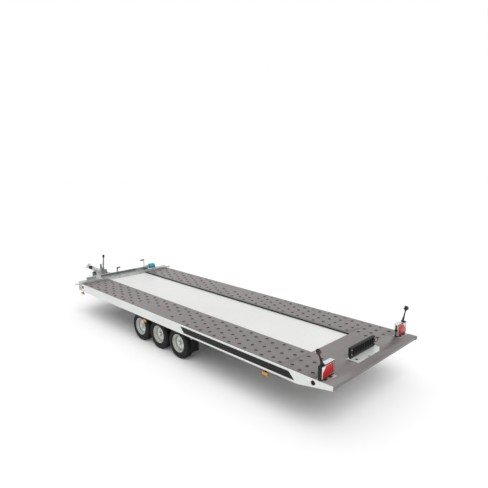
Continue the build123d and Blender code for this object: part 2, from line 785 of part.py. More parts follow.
pleats = 6
pleat_valley = 34
pleat_ridge = 46
bellows_gap = 2
bellows_bore = shaft_radius + 1
bellows_length = head_rear_x - housing_front_x - 2 * bellows_gap
with BuildPart() as overrun_bellows:
    # pleated rubber sleeve between the housing and the coupling head
    bellows_rear_x = housing_front_x + bellows_gap
    pleat_points = [(bellows_rear_x, coupling_axis_height + bellows_bore)]
    for fold in range(2 * pleats + 1):
        fold_x = bellows_rear_x + bellows_length * fold / (2 * pleats)
        fold_radius = pleat_valley if fold % 2 == 0 else pleat_ridge
        pleat_points.append((fold_x, coupling_axis_height + fold_radius))
    pleat_points.append((bellows_rear_x + bellows_length, coupling_axis_height + bellows_bore))
    with BuildSketch(Plane.XZ):
        with BuildLine():
            Polyline(*pleat_points, close=True)
        make_face()
    revolve(axis=Axis((0, 0, coupling_axis_height), (1, 0, 0)))
save(overrun_bellows, "overrun_bellows")

sleeve_radius = 38
sleeve_length = 40
sleeve_step = 2
head_width = 84
head_depth = 66
head_rise = 8
head_corner = 20
cup_radius = 50
cup_skirt = 20
cup_shoulder = 22
cup_crown_radius = 30
socket_radius = ball_radius + 1
with BuildPart() as coupling_head:
    # pressed head: round sleeve behind, blended into a box that runs over the ball
    with BuildSketch(Plane.YZ.offset(head_rear_x)):
        with Locations((0, coupling_axis_height)):
            Circle(sleeve_radius)
    extrude(amount=sleeve_length)
    with BuildSketch(Plane.YZ.offset(head_rear_x + sleeve_length)):
        with Locations((0, coupling_axis_height)):
            Circle(sleeve_radius - sleeve_step)
    with BuildSketch(Plane.YZ.offset(ball_x)):
        with Locations((0, ball_z + head_rise)):
            RectangleRounded(head_width, head_depth, head_corner)
    loft()
    # turned cup over the ball
    with BuildSketch(Plane.XZ):
        with BuildLine():
            Polyline((ball_x, ball_z - cup_skirt), (ball_x + cup_radius, ball_z - cup_skirt),
                     (ball_x + cup_radius, ball_z + cup_shoulder),
                     (ball_x + cup_crown_radius, ball_z + cup_radius), (ball_x, ball_z + cup_radius),
                     close=True)
        make_face()
    revolve(axis=Axis((ball_x, 0, 0), (0, 0, 1)))
    block(head_rear_x + sleeve_length, ball_x + cup_radius, -cup_radius, cup_radius,
          ball_z - 2 * cup_radius, ball_z - cup_skirt, mode=Mode.SUBTRACT)
    # socket for the ball, open below, its roof tapered to a flat
    with BuildSketch(Plane.XZ):
        with BuildLine():
            Polyline((ball_x, ball_z - cup_radius), (ball_x + socket_radius, ball_z - cup_radius),
                     (ball_x + socket_radius, ball_z + socket_radius / 2),
                     (ball_x + socket_radius / 2, ball_z + socket_radius), (ball_x, ball_z + socket_radius),
                     close=True)
        make_face()
    revolve(axis=Axis((ball_x, 0, 0), (0, 0, 1)), mode=Mode.SUBTRACT)
save(coupling_head, "coupling_head")

handle_width = 34
handle_thickness = 13
handle_base = ball_z + cup_radius + seat_gap
handle_rise = 36
handle_back_x = ball_x - 134
with BuildPart() as coupling_handle:
    # release handle on top of the head, bent up and back
    plate_along_y([(ball_x - handle_thickness, handle_base), (ball_x + handle_thickness, handle_base),
                   (ball_x + handle_thickness, handle_base + handle_thickness),
                   (ball_x - 3 * handle_thickness, handle_base + 2 * handle_thickness),
                   (handle_back_x + handle_thickness / 2, handle_base + handle_rise + handle_thickness),
                   (handle_back_x, handle_base + handle_rise),
                   (ball_x - 3 * handle_thickness, handle_base + handle_thickness)],
                  -handle_width / 2, handle_width / 2)
save(coupling_handle, "coupling_handle")

lever_angle = -8
lever_reach = 430
lever_boss = 26
lever_foot_half = 22
lever_tip_half = 15
knob_radius = 25
knob_length = 56
knob_chamfer = 10
pawl_gap = 8
pawl_length = 30
pawl_half_angle = 5
with BuildPart() as handbrake_lever:
    lever_y_low = quadrant_y + quadrant + moving_gap
    lever_y_high = lever_y_low + lever_thickness
    tip_x, tip_z = around_lever(lever_reach, lever_angle)
    rod_along_y(lever_pivot_x, lever_pivot_z, lever_boss, lever_y_low, lever_y_high)
    plate_along_y([(lever_pivot_x - lever_foot_half, lever_pivot_z),
                   (lever_pivot_x + lever_foot_half, lever_pivot_z),
                   (tip_x + lever_tip_half, tip_z), (tip_x - lever_tip_half, tip_z)],
                  lever_y_low, lever_y_high)
    # pawl that reaches across above the teeth
    pawl_low = quadrant_radius + pawl_gap
    plate_along_y([around_lever(pawl_low, lever_angle - pawl_half_angle),
                   around_lever(pawl_low + pawl_length, lever_angle - pawl_half_angle),
                   around_lever(pawl_low + pawl_length, lever_angle + pawl_half_angle),
                   around_lever(pawl_low, lever_angle + pawl_half_angle)],
                  quadrant_y, lever_y_low)
    # turned knob
    knob_centre = (tip_x, (lever_y_low + lever_y_high) / 2, tip_z)
    knob_plane = Plane(origin=knob_centre, x_dir=(0, 1, 0),
                       z_dir=(cos(radians(lever_angle)), 0, -sin(radians(lever_angle))))
    with BuildSketch(knob_plane):
        with BuildLine():
            Polyline((0, -knob_length / 2), (knob_radius - knob_chamfer, -knob_length / 2),
                     (knob_radius, knob_chamfer - knob_length / 2),
                     (knob_radius, knob_length / 2 - knob_chamfer),
                     (knob_radius - knob_chamfer, knob_length / 2), (0, knob_length / 2), close=True)
        make_face()
    revolve(axis=Axis(knob_centre, (sin(radians(lever_angle)), 0, cos(radians(lever_angle)))))
    rod_along_y(lever_pivot_x, lever_pivot_z, lever_pin_radius + running_gap, lever_y_low, lever_y_high,
                mode=Mode.SUBTRACT)
save(handbrake_lever, "handbrake_lever")

rod_radius = 6
brake_rod_z = arm_bottom - 20
rod_rear_x = axle_xs[0] + 260
rod_front_x = head_plate_rear_x + 60
hanger_half_length = 8
hanger_half_width = 4
crank_plate = 30
with BuildPart() as brake_rod:
    # pull rod from the overrun lever back to the first axle, on three hangers
    with BuildSketch(Plane.YZ.offset(rod_rear_x)):
        with Locations((0, brake_rod_z)):
            Circle(rod_radius)
    extrude(amount=rod_front_x - rod_rear_x)
    for crossmember_x in crossmember_xs[:3]:
        block(crossmember_x - hanger_half_length, crossmember_x + hanger_half_length, -hanger_half_width,
              hanger_half_width, brake_rod_z, crossmember_z - crossmember_height / 2)
    block(rod_front_x - crank_plate, rod_front_x, -rod_radius, rod_radius, brake_rod_z,
          arm_bottom - drawbar_plate)
save(brake_rod, "brake_rod")

pump_x = shelf_rear_x + shelf_length / 2
tank_length = 155
tank_half_width = 70
tank_height = 92
tank_corner = 14
pump_barrel_radius = 22
pump_barrel_x = pump_x - 40
pump_barrel_z = housing_base + 112
pump_post = 20
pump_post_top = housing_base + 285
pump_grip_radius = 13
with BuildPart() as hydraulic_pump:
    # hand pump: tank, pump cylinder, upright socket and the grip of its handle
    block(pump_x - tank_length / 2, pump_x + tank_length / 2, -tank_half_width, tank_half_width,
          housing_base, housing_base + tank_height)
    fillet(edges().filter_by(Axis.X), radius=tank_corner)
    rod_along_y(pump_barrel_x, pump_barrel_z, pump_barrel_radius, -tank_half_width, tank_half_width)
    block(pump_barrel_x - pump_post / 2, pump_barrel_x + pump_post / 2, 0, pump_post,
          pump_barrel_z - pump_barrel_radius, pump_post_top)
    rod_along_y(pump_barrel_x, pump_post_top - pump_grip_radius, pump_grip_radius,
                -tank_half_width, pump_post)
save(hydraulic_pump, "hydraulic_pump")

# ---------------------------------------------------------------- chassis: axles
bracket_length = 120
arm_gap = 1
arm_thickness = 30
arm_y = axle_beam_end + arm_gap
drum_inner_y = wheel_y - 60
backplate_y = drum_inner_y - moving_gap - 4
with BuildPart() as axle_beams:
    for axle_x in axle_xs:
        beam_x = axle_x + axle_beam_forward
        tube_along_y(beam_x, axle_beam_z, axle_beam_size, axle_beam_size, 5,
                     -axle_beam_end, axle_beam_end)
        # saddle brackets below the chassis rails
        for side in (-1, 1):
            block(beam_x - bracket_length / 2, beam_x + bracket_length / 2,
                  side * bed_beam_y - rail_width / 2, side * bed_beam_y + rail_width / 2,
                  axle_beam_z + axle_beam_size / 2, chassis_bottom)
save(axle_beams, "axle_beams")

with BuildPart() as swing_arms:
    for axle_x in axle_xs:
        beam_x = axle_x + axle_beam_forward
        dx = beam_x - axle_x
        dz = axle_beam_z - tyre_radius
        nx = -dz / arm_length
        nz = dx / arm_length
        plate_along_y([(beam_x + 40 * nx, axle_beam_z + 40 * nz), (beam_x - 40 * nx, axle_beam_z - 40 * nz),
                       (axle_x - 30 * nx, tyre_radius - 30 * nz), (axle_x + 30 * nx, tyre_radius + 30 * nz)],
                      arm_y, arm_y + arm_thickness)
        rod_along_y(beam_x, axle_beam_z, 40, axle_beam_end, arm_y + arm_thickness)
        rod_along_y(axle_x, tyre_radius, 30, arm_y, arm_y + arm_thickness)
        # stub axle with its shoulder
        rod_along_y(axle_x, tyre_radius, 25, arm_y + arm_thickness, backplate_y)
        rod_along_y(axle_x, tyre_radius, stub_radius, backplate_y, wheel_y + 6)
    mirror(about=Plane.XZ)
save(swing_arms, "swing_arms")

with BuildPart() as brake_backplates:
    for axle_x in axle_xs:
        rod_along_y(axle_x, tyre_radius, drum_radius, backplate_y, backplate_y + 4)
        rod_along_y(axle_x, tyre_radius, stub_radius + running_gap, backplate_y, backplate_y + 4,
                    mode=Mode.SUBTRACT)
    mirror(about=Plane.XZ)
save(brake_backplates, "brake_backplates")

flap_thickness = 6
with BuildPart() as mud_flaps:
    block(flap_x - outrigger / 2 - flap_thickness, flap_x - outrigger / 2, wheel_y - tyre_width / 2,
          flap_outer_y, 215, chassis_bottom + outrigger + outrigger / 2)
    mirror(about=Plane.XZ)
save(mud_flaps, "mud_flaps")


# ---------------------------------------------------------------- wheels
shoulder_half = 67
shoulder_drop = 11
belly_half = 16
bead_foot = 14
tread_wall = 17
rim_edge = 6
well_half = 28
well_slope = 12
disc_y = 8
hub_face_y = 18
disc_crown_y = 28
disc_roll = 14
drum_wall = 9
cap_chamfer = 6


def wheel_plane(axle_x):
    """Section plane through an axle: local x runs outwards along it, local y is the radius."""
    return Plane(origin=(axle_x, wheel_y, tyre_radius), x_dir=(0, 1, 0), z_dir=(1, 0, 0))


def tyre(axle_x):
    """Hollow tyre seated on the rim."""
    bead = bead_radius + seat_gap
    bead_half = rim_width / 2 - rim_edge - 1
    belly_radius = (rim_flange_radius + tyre_radius) / 2
    shoulder_radius = tyre_radius - shoulder_drop
    tread_half = tread_width / 2
    with BuildPart() as piece:
        with BuildSketch(wheel_plane(axle_x)):
            with BuildLine():
                Polyline((-shoulder_half, shoulder_radius), (-tread_half, tyre_radius),
                         (tread_half, tyre_radius), (shoulder_half, shoulder_radius),
                         (tyre_width / 2, belly_radius + belly_half),
                         (tyre_width / 2, belly_radius - belly_half), (bead_half, rim_flange_radius + 1),
                         (bead_half, bead), (bead_half - bead_foot, bead), (bead_half, belly_radius),
                         (tread_half, tyre_radius - tread_wall), (-tread_half, tyre_radius - tread_wall),
                         (-bead_half, belly_radius), (bead_foot - bead_half, bead), (-bead_half, bead),
                         (-bead_half, rim_flange_radius + 1), (-tyre_width / 2, belly_radius - belly_half),
                         (-tyre_width / 2, belly_radius + belly_half), close=True)
            make_face()
        revolve(axis=Axis((axle_x, 0, tyre_radius), (0, 1, 0)))
    return piece


def rim(axle_x):
    """Steel rim with its dished disc, hub, brake drum and grease cap as one turned form."""
    edge = rim_width / 2
    seat_half = edge - rim_edge
    under_bead = bead_radius - rim_wall
    under_well = well_radius - rim_wall
    drum_rear = disc_y - drum_depth
    with BuildPart() as piece:
        with BuildSketch(wheel_plane(axle_x)):
            with BuildLine():
                Polyline(
                    (edge, under_bead), (edge, rim_flange_radius), (seat_half, rim_flange_radius),
                    (seat_half, bead_radius), (well_half + well_slope, bead_radius), (well_half, well_radius),
                    (-well_half, well_radius), (-well_half - well_slope, bead_radius),
                    (-seat_half, bead_radius), (-seat_half, rim_flange_radius), (-edge, rim_flange_radius),
                    (-edge, under_bead), (-well_half - well_slope, under_bead), (-well_half, under_well),
                    (disc_y, under_well), (disc_y, drum_radius), (drum_rear, drum_radius),
                    (drum_rear, drum_radius - drum_wall), (disc_y - drum_wall, drum_radius - drum_wall),
                    (disc_y - drum_wall, hub_bore_radius), (drum_rear, hub_bore_radius),
                    (drum_rear, stub_radius + running_gap), (disc_y, stub_radius + running_gap), (disc_y, 0),
                    (cap_reach, 0), (cap_reach, cap_radius - cap_chamfer),
                    (cap_reach - cap_chamfer, cap_radius), (hub_face_y, cap_radius),
                    (hub_face_y, hub_radius), (disc_crown_y, hub_radius + disc_roll),
                    (hub_face_y, under_well), (well_half, under_well), (well_half + well_slope, under_bead),
                    close=True,
                )
            make_face()
        revolve(axis=Axis((axle_x, 0, tyre_radius), (0, 1, 0)))
        for index in range(vent_count):
            angle = 2 * pi * index / vent_count
            rod_along_y(axle_x + vent_circle * cos(angle), tyre_radius + vent_circle * sin(angle),
                        vent_radius, wheel_y + disc_y, wheel_y + disc_crown_y, mode=Mode.SUBTRACT)
    return piece


for position, axle_x in zip(("front", "middle", "rear"), axle_xs):
    tyre_left = tyre(axle_x)
    rim_left = rim(axle_x)
    save(tyre_left, f"tyre_{position}_left")
    save(rim_left, f"rim_{position}_left")
    save(mirrored(tyre_left), f"tyre_{position}_right")
    save(mirrored(rim_left), f"rim_{position}_right")

# ---------------------------------------------------------------- jockey wheel
# the tube stands where the converging arm comes within reach of its clamp
jockey_x = (arm_front_x - (jockey_y + jockey_to_arm_centre - drawbar_front_y)
            * (arm_front_x - chassis_front_x) / (bed_beam_y - drawbar_front_y))
jockey_tube_bottom = arm_bottom
tube_cap = 4
tube_cap_height = 14
fork_top = 2 * jockey_wheel_radius + 34
clamp_low = arm_top - 70
clamp_high = arm_top - 10
clamp_half = 40
clamp_wall = 6
with BuildPart() as jockey_tube:
    with BuildSketch(Plane.XY.offset(jockey_tube_bottom)):
        with Locations((jockey_x, jockey_y)):
            Circle(jockey_tube_radius)
            Circle(jockey_leg_radius + running_gap, mode=Mode.SUBTRACT)
    extrude(amount=jockey_tube_top - jockey_tube_bottom)
    with BuildSketch(Plane.XY.offset(jockey_tube_top)):
        with Locations((jockey_x, jockey_y)):
            Circle(jockey_tube_radius + tube_cap)
    extrude(amount=tube_cap_height)
    # clamp that holds the tube to the inner face of the drawbar arm
    with BuildSketch(Plane.XY.offset(clamp_low)):
        with BuildLine():
            Polyline((jockey_x - clamp_half, arm_centre_y(jockey_x - clamp_half) - rail_width / 2),
                     (jockey_x + clamp_half, arm_centre_y(jockey_x + clamp_half) - rail_width / 2),
                     (jockey_x + clamp_half, jockey_y), (jockey_x - clamp_half, jockey_y), close=True)
        make_face()
        with Locations((jockey_x, jockey_y)):
            Circle(jockey_tube_radius + clamp_wall)
            Circle(jockey_tube_radius - 1, mode=Mode.SUBTRACT)
    extrude(amount=clamp_high - clamp_low)
save(jockey_tube, "jockey_tube")

crank_z = jockey_tube_top + tube_cap_height
crank_hub_radius = 10
crank_hub_height = 20
crank_arm = 8
crank_back = 88
crank_out = 48
crank_grip_radius = 13
crank_grip_length = 100
with BuildPart() as jockey_crank:
    # crank arm that points back and outwards, with its upright grip
    with BuildSketch(Plane.XY.offset(crank_z)):
        with Locations((jockey_x, jockey_y)):
            Circle(crank_hub_radius)
    extrude(amount=crank_hub_height)
    with BuildSketch(Plane.XY.offset(crank_z + crank_hub_height - crank_arm)):
        with Locations(Location((jockey_x - crank_back / 2, jockey_y + crank_out / 2, 0),
                                (0, 0, degrees(atan2(crank_out, -crank_back))))):
            SlotCenterToCenter(hypot(crank_back, crank_out), 2 * crank_hub_radius)
    extrude(amount=crank_arm)
    with BuildSketch(Plane.XY.offset(crank_z + crank_hub_height)):
        with Locations((jockey_x - crank_back, jockey_y + crank_out)):
            Circle(crank_grip_radius)
    extrude(amount=crank_grip_length)
save(jockey_crank, "jockey_crank")

leg_socket = 8
leg_top = jockey_tube_top - 180
leg_pin_radius = 10
leg_pin_drop = 16
with BuildPart() as jockey_leg:
    with BuildSketch(Plane.XY.offset(fork_top + leg_socket)):
        with Locations((jockey_x, jockey_y)):
            Circle(jockey_leg_radius)
    extrude(amount=leg_top - fork_top - leg_socket)
    with BuildSketch(Plane.XY.offset(fork_top - leg_pin_drop)):
        with Locations((jockey_x, jockey_y)):
            Circle(leg_pin_radius)
    extrude(amount=2 * leg_pin_drop)
save(jockey_leg, "jockey_leg")

fork_wall = 5
fork_half = jockey_wheel_width / 2 + moving_gap
jockey_axle_x = jockey_x - jockey_trail
jockey_axle_radius = 8
with BuildPart() as jockey_fork:
    # swivel fork with its axle
    block(jockey_x - 62, jockey_x + 30, jockey_y - fork_half - fork_wall,
          jockey_y + fork_half + fork_wall, fork_top - 8, fork_top)
    for y_low in (jockey_y - fork_half - fork_wall, jockey_y + fork_half):
        plate_along_y([(jockey_x - 62, fork_top), (jockey_x + 30, fork_top),
                       (jockey_axle_x + 16, jockey_wheel_radius), (jockey_axle_x - 16, jockey_wheel_radius)],
                      y_low, y_low + fork_wall)
        rod_along_y(jockey_axle_x, jockey_wheel_radius, 16, y_low, y_low + fork_wall)
    rod_along_y(jockey_axle_x, jockey_wheel_radius, jockey_axle_radius, jockey_y - fork_half - fork_wall - 4,
                jockey_y + fork_half + fork_wall + 4)
    with Locations((jockey_x, jockey_y, fork_top)):
        Cylinder(10 + running_gap, 40, mode=Mode.SUBTRACT)
save(jockey_fork, "jockey_fork")

with BuildPart() as jockey_wheel:
    jockey_plane = Plane(origin=(jockey_axle_x, jockey_y, jockey_wheel_radius), x_dir=(0, 1, 0),
                         z_dir=(1, 0, 0))
    half = jockey_wheel_width / 2
    with BuildSketch(jockey_plane):
        with BuildLine():
            Polyline((half, jockey_axle_radius + running_gap), (half, 24), (8, 30), (8, 62), (half - 6, 68))
            Polyline((half - 6, 68), (half, 84), (half - 8, jockey_wheel_radius - 5),
                     (half - 16, jockey_wheel_radius), (16 - half, jockey_wheel_radius),
                     (8 - half, jockey_wheel_radius - 5), (-half, 84))
            Polyline((-half, 84), (-half + 6, 68), (-8, 62), (-8, 30), (-half, 24),
                     (-half, jockey_axle_radius + running_gap), (half, jockey_axle_radius + running_gap))
        make_face()
    revolve(axis=Axis((jockey_axle_x, 0, jockey_wheel_radius), (0, 1, 0)))
save(jockey_wheel, "jockey_wheel")

# ---------------------------------------------------------------- tilt cylinder
barrel_radius = 32
barrel_top = cylinder_head_height - 90
rod_end_radius = 14
head_pin_radius = 10
eye_clearance = 2
with BuildPart() as tilt_barrel:
    rod_along_y(cylinder_x, cylinder_foot_height, 24, -barrel_eye_half, barrel_eye_half)
    with BuildSketch(Plane.XY.offset(cylinder_foot_height + 16)):
        with Locations((cylinder_x, 0)):
            Circle(barrel_radius)
    extrude(amount=barrel_top - cylinder_foot_height - 16)
    rod_along_y(cylinder_x, cylinder_foot_height, foot_pin_radius + running_gap, -barrel_eye_half,
                barrel_eye_half, mode=Mode.SUBTRACT)
    with BuildSketch(Plane.XY.offset(cylinder_foot_height + 40)):
        with Locations((cylinder_x, 0)):
            Circle(rod_end_radius + running_gap)
    extrude(amount=barrel_top - cylinder_foot_height - 40, mode=Mode.SUBTRACT)
save(tilt_barrel, "tilt_barrel")

with BuildPart() as tilt_rod:
    with BuildSketch(Plane.XY.offset(cylinder_foot_height + 45)):
        with Locations((cylinder_x, 0)):
            Circle(rod_end_radius)
    extrude(amount=cylinder_head_height - cylinder_foot_height - 45 - 10)
    rod_along_y(cylinder_x, cylinder_head_height, 22, -14, 14)
    rod_along_y(cylinder_x, cylinder_head_height, head_pin_radius + eye_clearance, -14, 14,
                mode=Mode.SUBTRACT)
save(tilt_rod, "tilt_rod")

head_ear = 8
head_ear_low = 20
yoke_front_x = min(x for x in bearer_xs if x > cylinder_x) - bearer_width / 2
with BuildPart() as cylinder_yoke:
    # yoke welded behind a cross bearer; its pin passes through the rod's eye
    for ear_low in (head_ear_low, -head_ear_low - head_ear):
        plate_along_y([(cylinder_x - 24, bearer_top), (yoke_front_x, bearer_top),
                       (yoke_front_x, bearer_bottom), (cylinder_x - 24, cylinder_head_height - 24)],
                      ear_low, ear_low + head_ear)
    rod_along_y(cylinder_x, cylinder_head_height, head_pin_radius, -head_ear_low - head_ear,
                head_ear_low + head_ear)
save(cylinder_yoke, "cylinder_yoke")
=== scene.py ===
from math import cos, pi, radians, sin, tau

import bmesh
import bpy
from mathutils import Matrix, Vector


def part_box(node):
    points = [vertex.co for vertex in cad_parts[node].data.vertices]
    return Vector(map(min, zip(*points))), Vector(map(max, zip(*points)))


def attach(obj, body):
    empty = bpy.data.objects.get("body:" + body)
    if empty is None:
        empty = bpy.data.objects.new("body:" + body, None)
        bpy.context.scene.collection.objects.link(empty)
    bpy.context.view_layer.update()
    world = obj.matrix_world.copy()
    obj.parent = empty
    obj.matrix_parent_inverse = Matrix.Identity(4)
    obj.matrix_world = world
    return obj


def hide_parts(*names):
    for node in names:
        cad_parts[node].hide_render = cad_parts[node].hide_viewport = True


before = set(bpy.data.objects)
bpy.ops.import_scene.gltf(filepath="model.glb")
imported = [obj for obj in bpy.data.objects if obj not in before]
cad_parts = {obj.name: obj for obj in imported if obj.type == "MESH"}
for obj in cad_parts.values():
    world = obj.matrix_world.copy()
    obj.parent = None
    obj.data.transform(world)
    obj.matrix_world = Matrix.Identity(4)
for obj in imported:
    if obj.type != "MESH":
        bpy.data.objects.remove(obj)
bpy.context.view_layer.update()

# ---------------------------------------------------------------- camera
# Raised view from behind the left rear corner of the trailer, through a slightly
# wide lens, with the whole length of the bed in the frame.
scene = bpy.context.scene
middle_axle_x = sum(corner.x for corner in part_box("tyre_middle_left")) / 2
camera_data = bpy.data.cameras.new("camera")
camera_data.sensor_width = 36
camera_data.lens = 33.08
camera_behind_axle = 6.438
camera_left = 5.290
camera_height = 3.276
look_down = 10.24
look_across = 45.123
camera = bpy.data.objects.new("camera", camera_data)
camera.location = (middle_axle_x - camera_behind_axle, camera_left, camera_height)
camera.rotation_euler = (radians(90 - look_down), 0, radians(-look_across - 90))
scene.collection.objects.link(camera)
scene.camera = camera
scene.view_settings.view_transform = "Standard"


# ---------------------------------------------------------------- floor and lights
# Plain white studio floor in a white room whose light comes mostly from above, with a
# wide soft light over the left side, so that a shadow lies under the bed.
def linear(colour):
    """Linear RGBA of an sRGB hex colour."""
    channels = [int(colour[i:i + 2], 16) / 255 for i in (1, 3, 5)]
    return [c / 12.92 if c <= 0.04045 else ((c + 0.055) / 1.055) ** 2.4 for c in channels] + [1]


def add_node(tree, kind, inputs=None, **settings):
    """Add a node with its settings. An input is a value, or the socket that feeds it."""
    made = tree.nodes.new(kind)
    for name, value in settings.items():
        setattr(made, name, value)
    for name, value in (inputs or {}).items():
        if isinstance(value, bpy.types.NodeSocket):
            tree.links.new(value, made.inputs[name])
        else:
            made.inputs[name].default_value = value
    return made


def new_material(name, colour, **sockets):
    """A material named for its finish, with its node tree and its shader."""
    material = bpy.data.materials.new(name)
    material.use_nodes = True
    material.diffuse_color = linear(colour)
    shader = material.node_tree.nodes["Principled BSDF"]
    shader.inputs["Base Color"].default_value = linear(colour)
    for socket, value in sockets.items():
        shader.inputs[socket.replace("_", " ")].default_value = value
    return material, material.node_tree, shader


def seen_by_eye(tree):
    """1 for rays that show a surface or the room to the eye, 0 for those that light the trailer."""
    path = add_node(tree, "ShaderNodeLightPath")
    direct = add_node(tree, "ShaderNodeMath", {0: path.outputs["Is Camera Ray"],
                                               1: path.outputs["Is Glossy Ray"]}, operation="MAXIMUM")
    either = add_node(tree, "ShaderNodeMath", {0: direct.outputs[0],
                                               1: path.outputs["Is Transmission Ray"]}, operation="MAXIMUM")
    return either.outputs[0]


# The room lights the trailer weakly from the sides and strongly from above, and the eye sees it white.
horizon_light = 0.08
zenith_light = 0.87
world = bpy.data.worlds.new("studio_room")
world.use_nodes = True
background = world.node_tree.nodes["Background"]
direction = add_node(world.node_tree, "ShaderNodeTexCoord")
height = add_node(world.node_tree, "ShaderNodeSeparateXYZ", {"Vector": direction.outputs["Generated"]})
room = add_node(world.node_tree, "ShaderNodeMapRange",
                {"Value": height.outputs["Z"], "To Min": horizon_light, "To Max": zenith_light})
strength = add_node(world.node_tree, "ShaderNodeMath",
                    {0: seen_by_eye(world.node_tree), 1: room.outputs["Result"]}, operation="MAXIMUM")
background.inputs["Color"].default_value = (1, 1, 1, 1)
world.node_tree.links.new(strength.outputs[0], background.inputs["Strength"])
scene.world = world

floor_size = 60
# Share of white that is added to what the eye sees of the floor, so that open floor reaches white.
floor_lift = 0.03
floor_mesh = bpy.data.meshes.new("studio_floor")
shape = bmesh.new()
bmesh.ops.create_grid(shape, x_segments=1, y_segments=1, size=floor_size)
shape.to_mesh(floor_mesh)
shape.free()
floor = bpy.data.objects.new("studio_floor", floor_mesh)
scene.collection.objects.link(floor)
# Matt paint has no gloss, so nothing but the soft shadow shows on the floor.
floor_paint, tree, shader = new_material("matt_white_floor_paint", "#fbfbfb", Roughness=1.0)
lift = add_node(tree, "ShaderNodeMath", {0: seen_by_eye(tree), 1: floor_lift}, operation="MULTIPLY")
glow = add_node(tree, "ShaderNodeEmission", {"Color": (1, 1, 1, 1), "Strength": lift.outputs[0]})
both = add_node(tree, "ShaderNodeAddShader", {0: shader.outputs[0], 1: glow.outputs[0]})
tree.links.new(both.outputs[0], tree.nodes["Material Output"].inputs["Surface"])
floor_mesh.materials.append(floor_paint)

lamp_data = bpy.data.lights.new("soft_overhead_light", "SUN")
lamp_data.energy = 1.76
lamp_data.angle = radians(50)
lamp = bpy.data.objects.new("soft_overhead_light", lamp_data)
lamp.location = (-4.0, 2.3, 6.0)
lamp.rotation_euler = (-lamp.location).to_track_quat("-Z", "Y").to_euler()
scene.collection.objects.link(lamp)


# ---------------------------------------------------------------- galvanised steelwork
# The frames of chassis and bed, the drawbar and the axles are mild steel tube, welded
# and then dipped in molten zinc, which dries to a dull grey with faint spangles.
def noise(tree, place, size, detail, rough=0.5):
    """Cloudy pattern with patches of about that size in metres."""
    cloud = add_node(tree, "ShaderNodeTexNoise", {"Vector": place, "Scale": 1 / size, "Detail": detail,
                                                  "Roughness": rough})
    return cloud.outputs["Fac"]


def drift(tree, patch, shades, contrast=0.2):
    """Place on the piece, a cloud of that patch size, and a colour that drifts with it."""
    place = add_node(tree, "ShaderNodeTexCoord").outputs["Object"]
    cloud = noise(tree, place, patch, detail=6, rough=0.6)
    ramp = add_node(tree, "ShaderNodeValToRGB", {"Fac": cloud})
    for stop, position, colour in zip(ramp.color_ramp.elements, (0.5 - contrast, 0.5 + contrast), shades):
        stop.position = position
        stop.color = linear(colour)
    return place, cloud, ramp.outputs["Color"]


def mixed(tree, share, first, second, blend_type="MIX"):
    """Two colours mixed, by that share of the second one."""
    mix = add_node(tree, "ShaderNodeMix", {"Factor": share, 6: first, 7: second}, data_type="RGBA",
                   blend_type=blend_type)
    return mix.outputs[2]


def rough_and_bump(tree, shader, pattern, relief, rough=None, distance=0.001):
    """Let a pattern raise the surface, and vary its roughness between two values."""
    bump = add_node(tree, "ShaderNodeBump", {"Height": pattern, "Strength": relief, "Distance": distance})
    tree.links.new(bump.outputs["Normal"], shader.inputs["Normal"])
    if rough:
        spread = add_node(tree, "ShaderNodeMapRange",
                          {"Value": pattern, "To Min": rough[0], "To Max": rough[1]})
        tree.links.new(spread.outputs["Result"], shader.inputs["Roughness"])


def drifting_coat(name, colour, patch, shades, relief, rough, grain=None, distance=0.001, **sockets):
    """Material that drifts between two shades, with relief and roughness from the drift or a grain."""
    material, tree, shader = new_material(name, colour, **sockets)
    place, pattern, shade = drift(tree, patch, shades)
    tree.links.new(shade, shader.inputs["Base Color"])
    if grain:
        pattern = noise(tree, place, grain, detail=3)
    rough_and_bump(tree, shader, pattern, relief, rough, distance)
    return material


def finish_cad(material, *names):
    """Give CAD nodes their material."""
    for name in names:
        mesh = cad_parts[name].data
        mesh.materials.clear()
        mesh.materials.append(material)


# Zinc from the bath dries dull: grey in broad patches, over which the spangles, drawn 12 mm
# wide as on heavy tube, catch the light one by one.
spangle_size = 0.012
galvanised, tree, shader = new_material("hot_dip_galvanised_steel", "#b9bcba", Metallic=0.7, Roughness=0.45)
place, cloud, shade = drift(tree, patch=0.15, shades=("#a7abaa", "#c9cbc9"))
spangle = add_node(tree, "ShaderNodeTexVoronoi", {"Vector": place, "Scale": 1 / spangle_size})
flake = add_node(tree, "ShaderNodeMapRange", {"Value": spangle.outputs["Color"], "To Min": 0.42,
                                              "To Max": 0.58})
tint = mixed(tree, 0.6, shade, flake.outputs["Result"], blend_type="OVERLAY")
tree.links.new(tint, shader.inputs["Base Color"])
rough_and_bump(tree, shader, cloud, relief=0.15, rough=(0.36, 0.56))
finish_cad(galvanised, "chassis_rails", "chassis_crossmembers", "drawbar_frame", "axle_beams", "swing_arms",
           "bed_beams", "cross_bearers", "cylinder_yoke", "front_beam", "light_hinges", "overrun_housing")


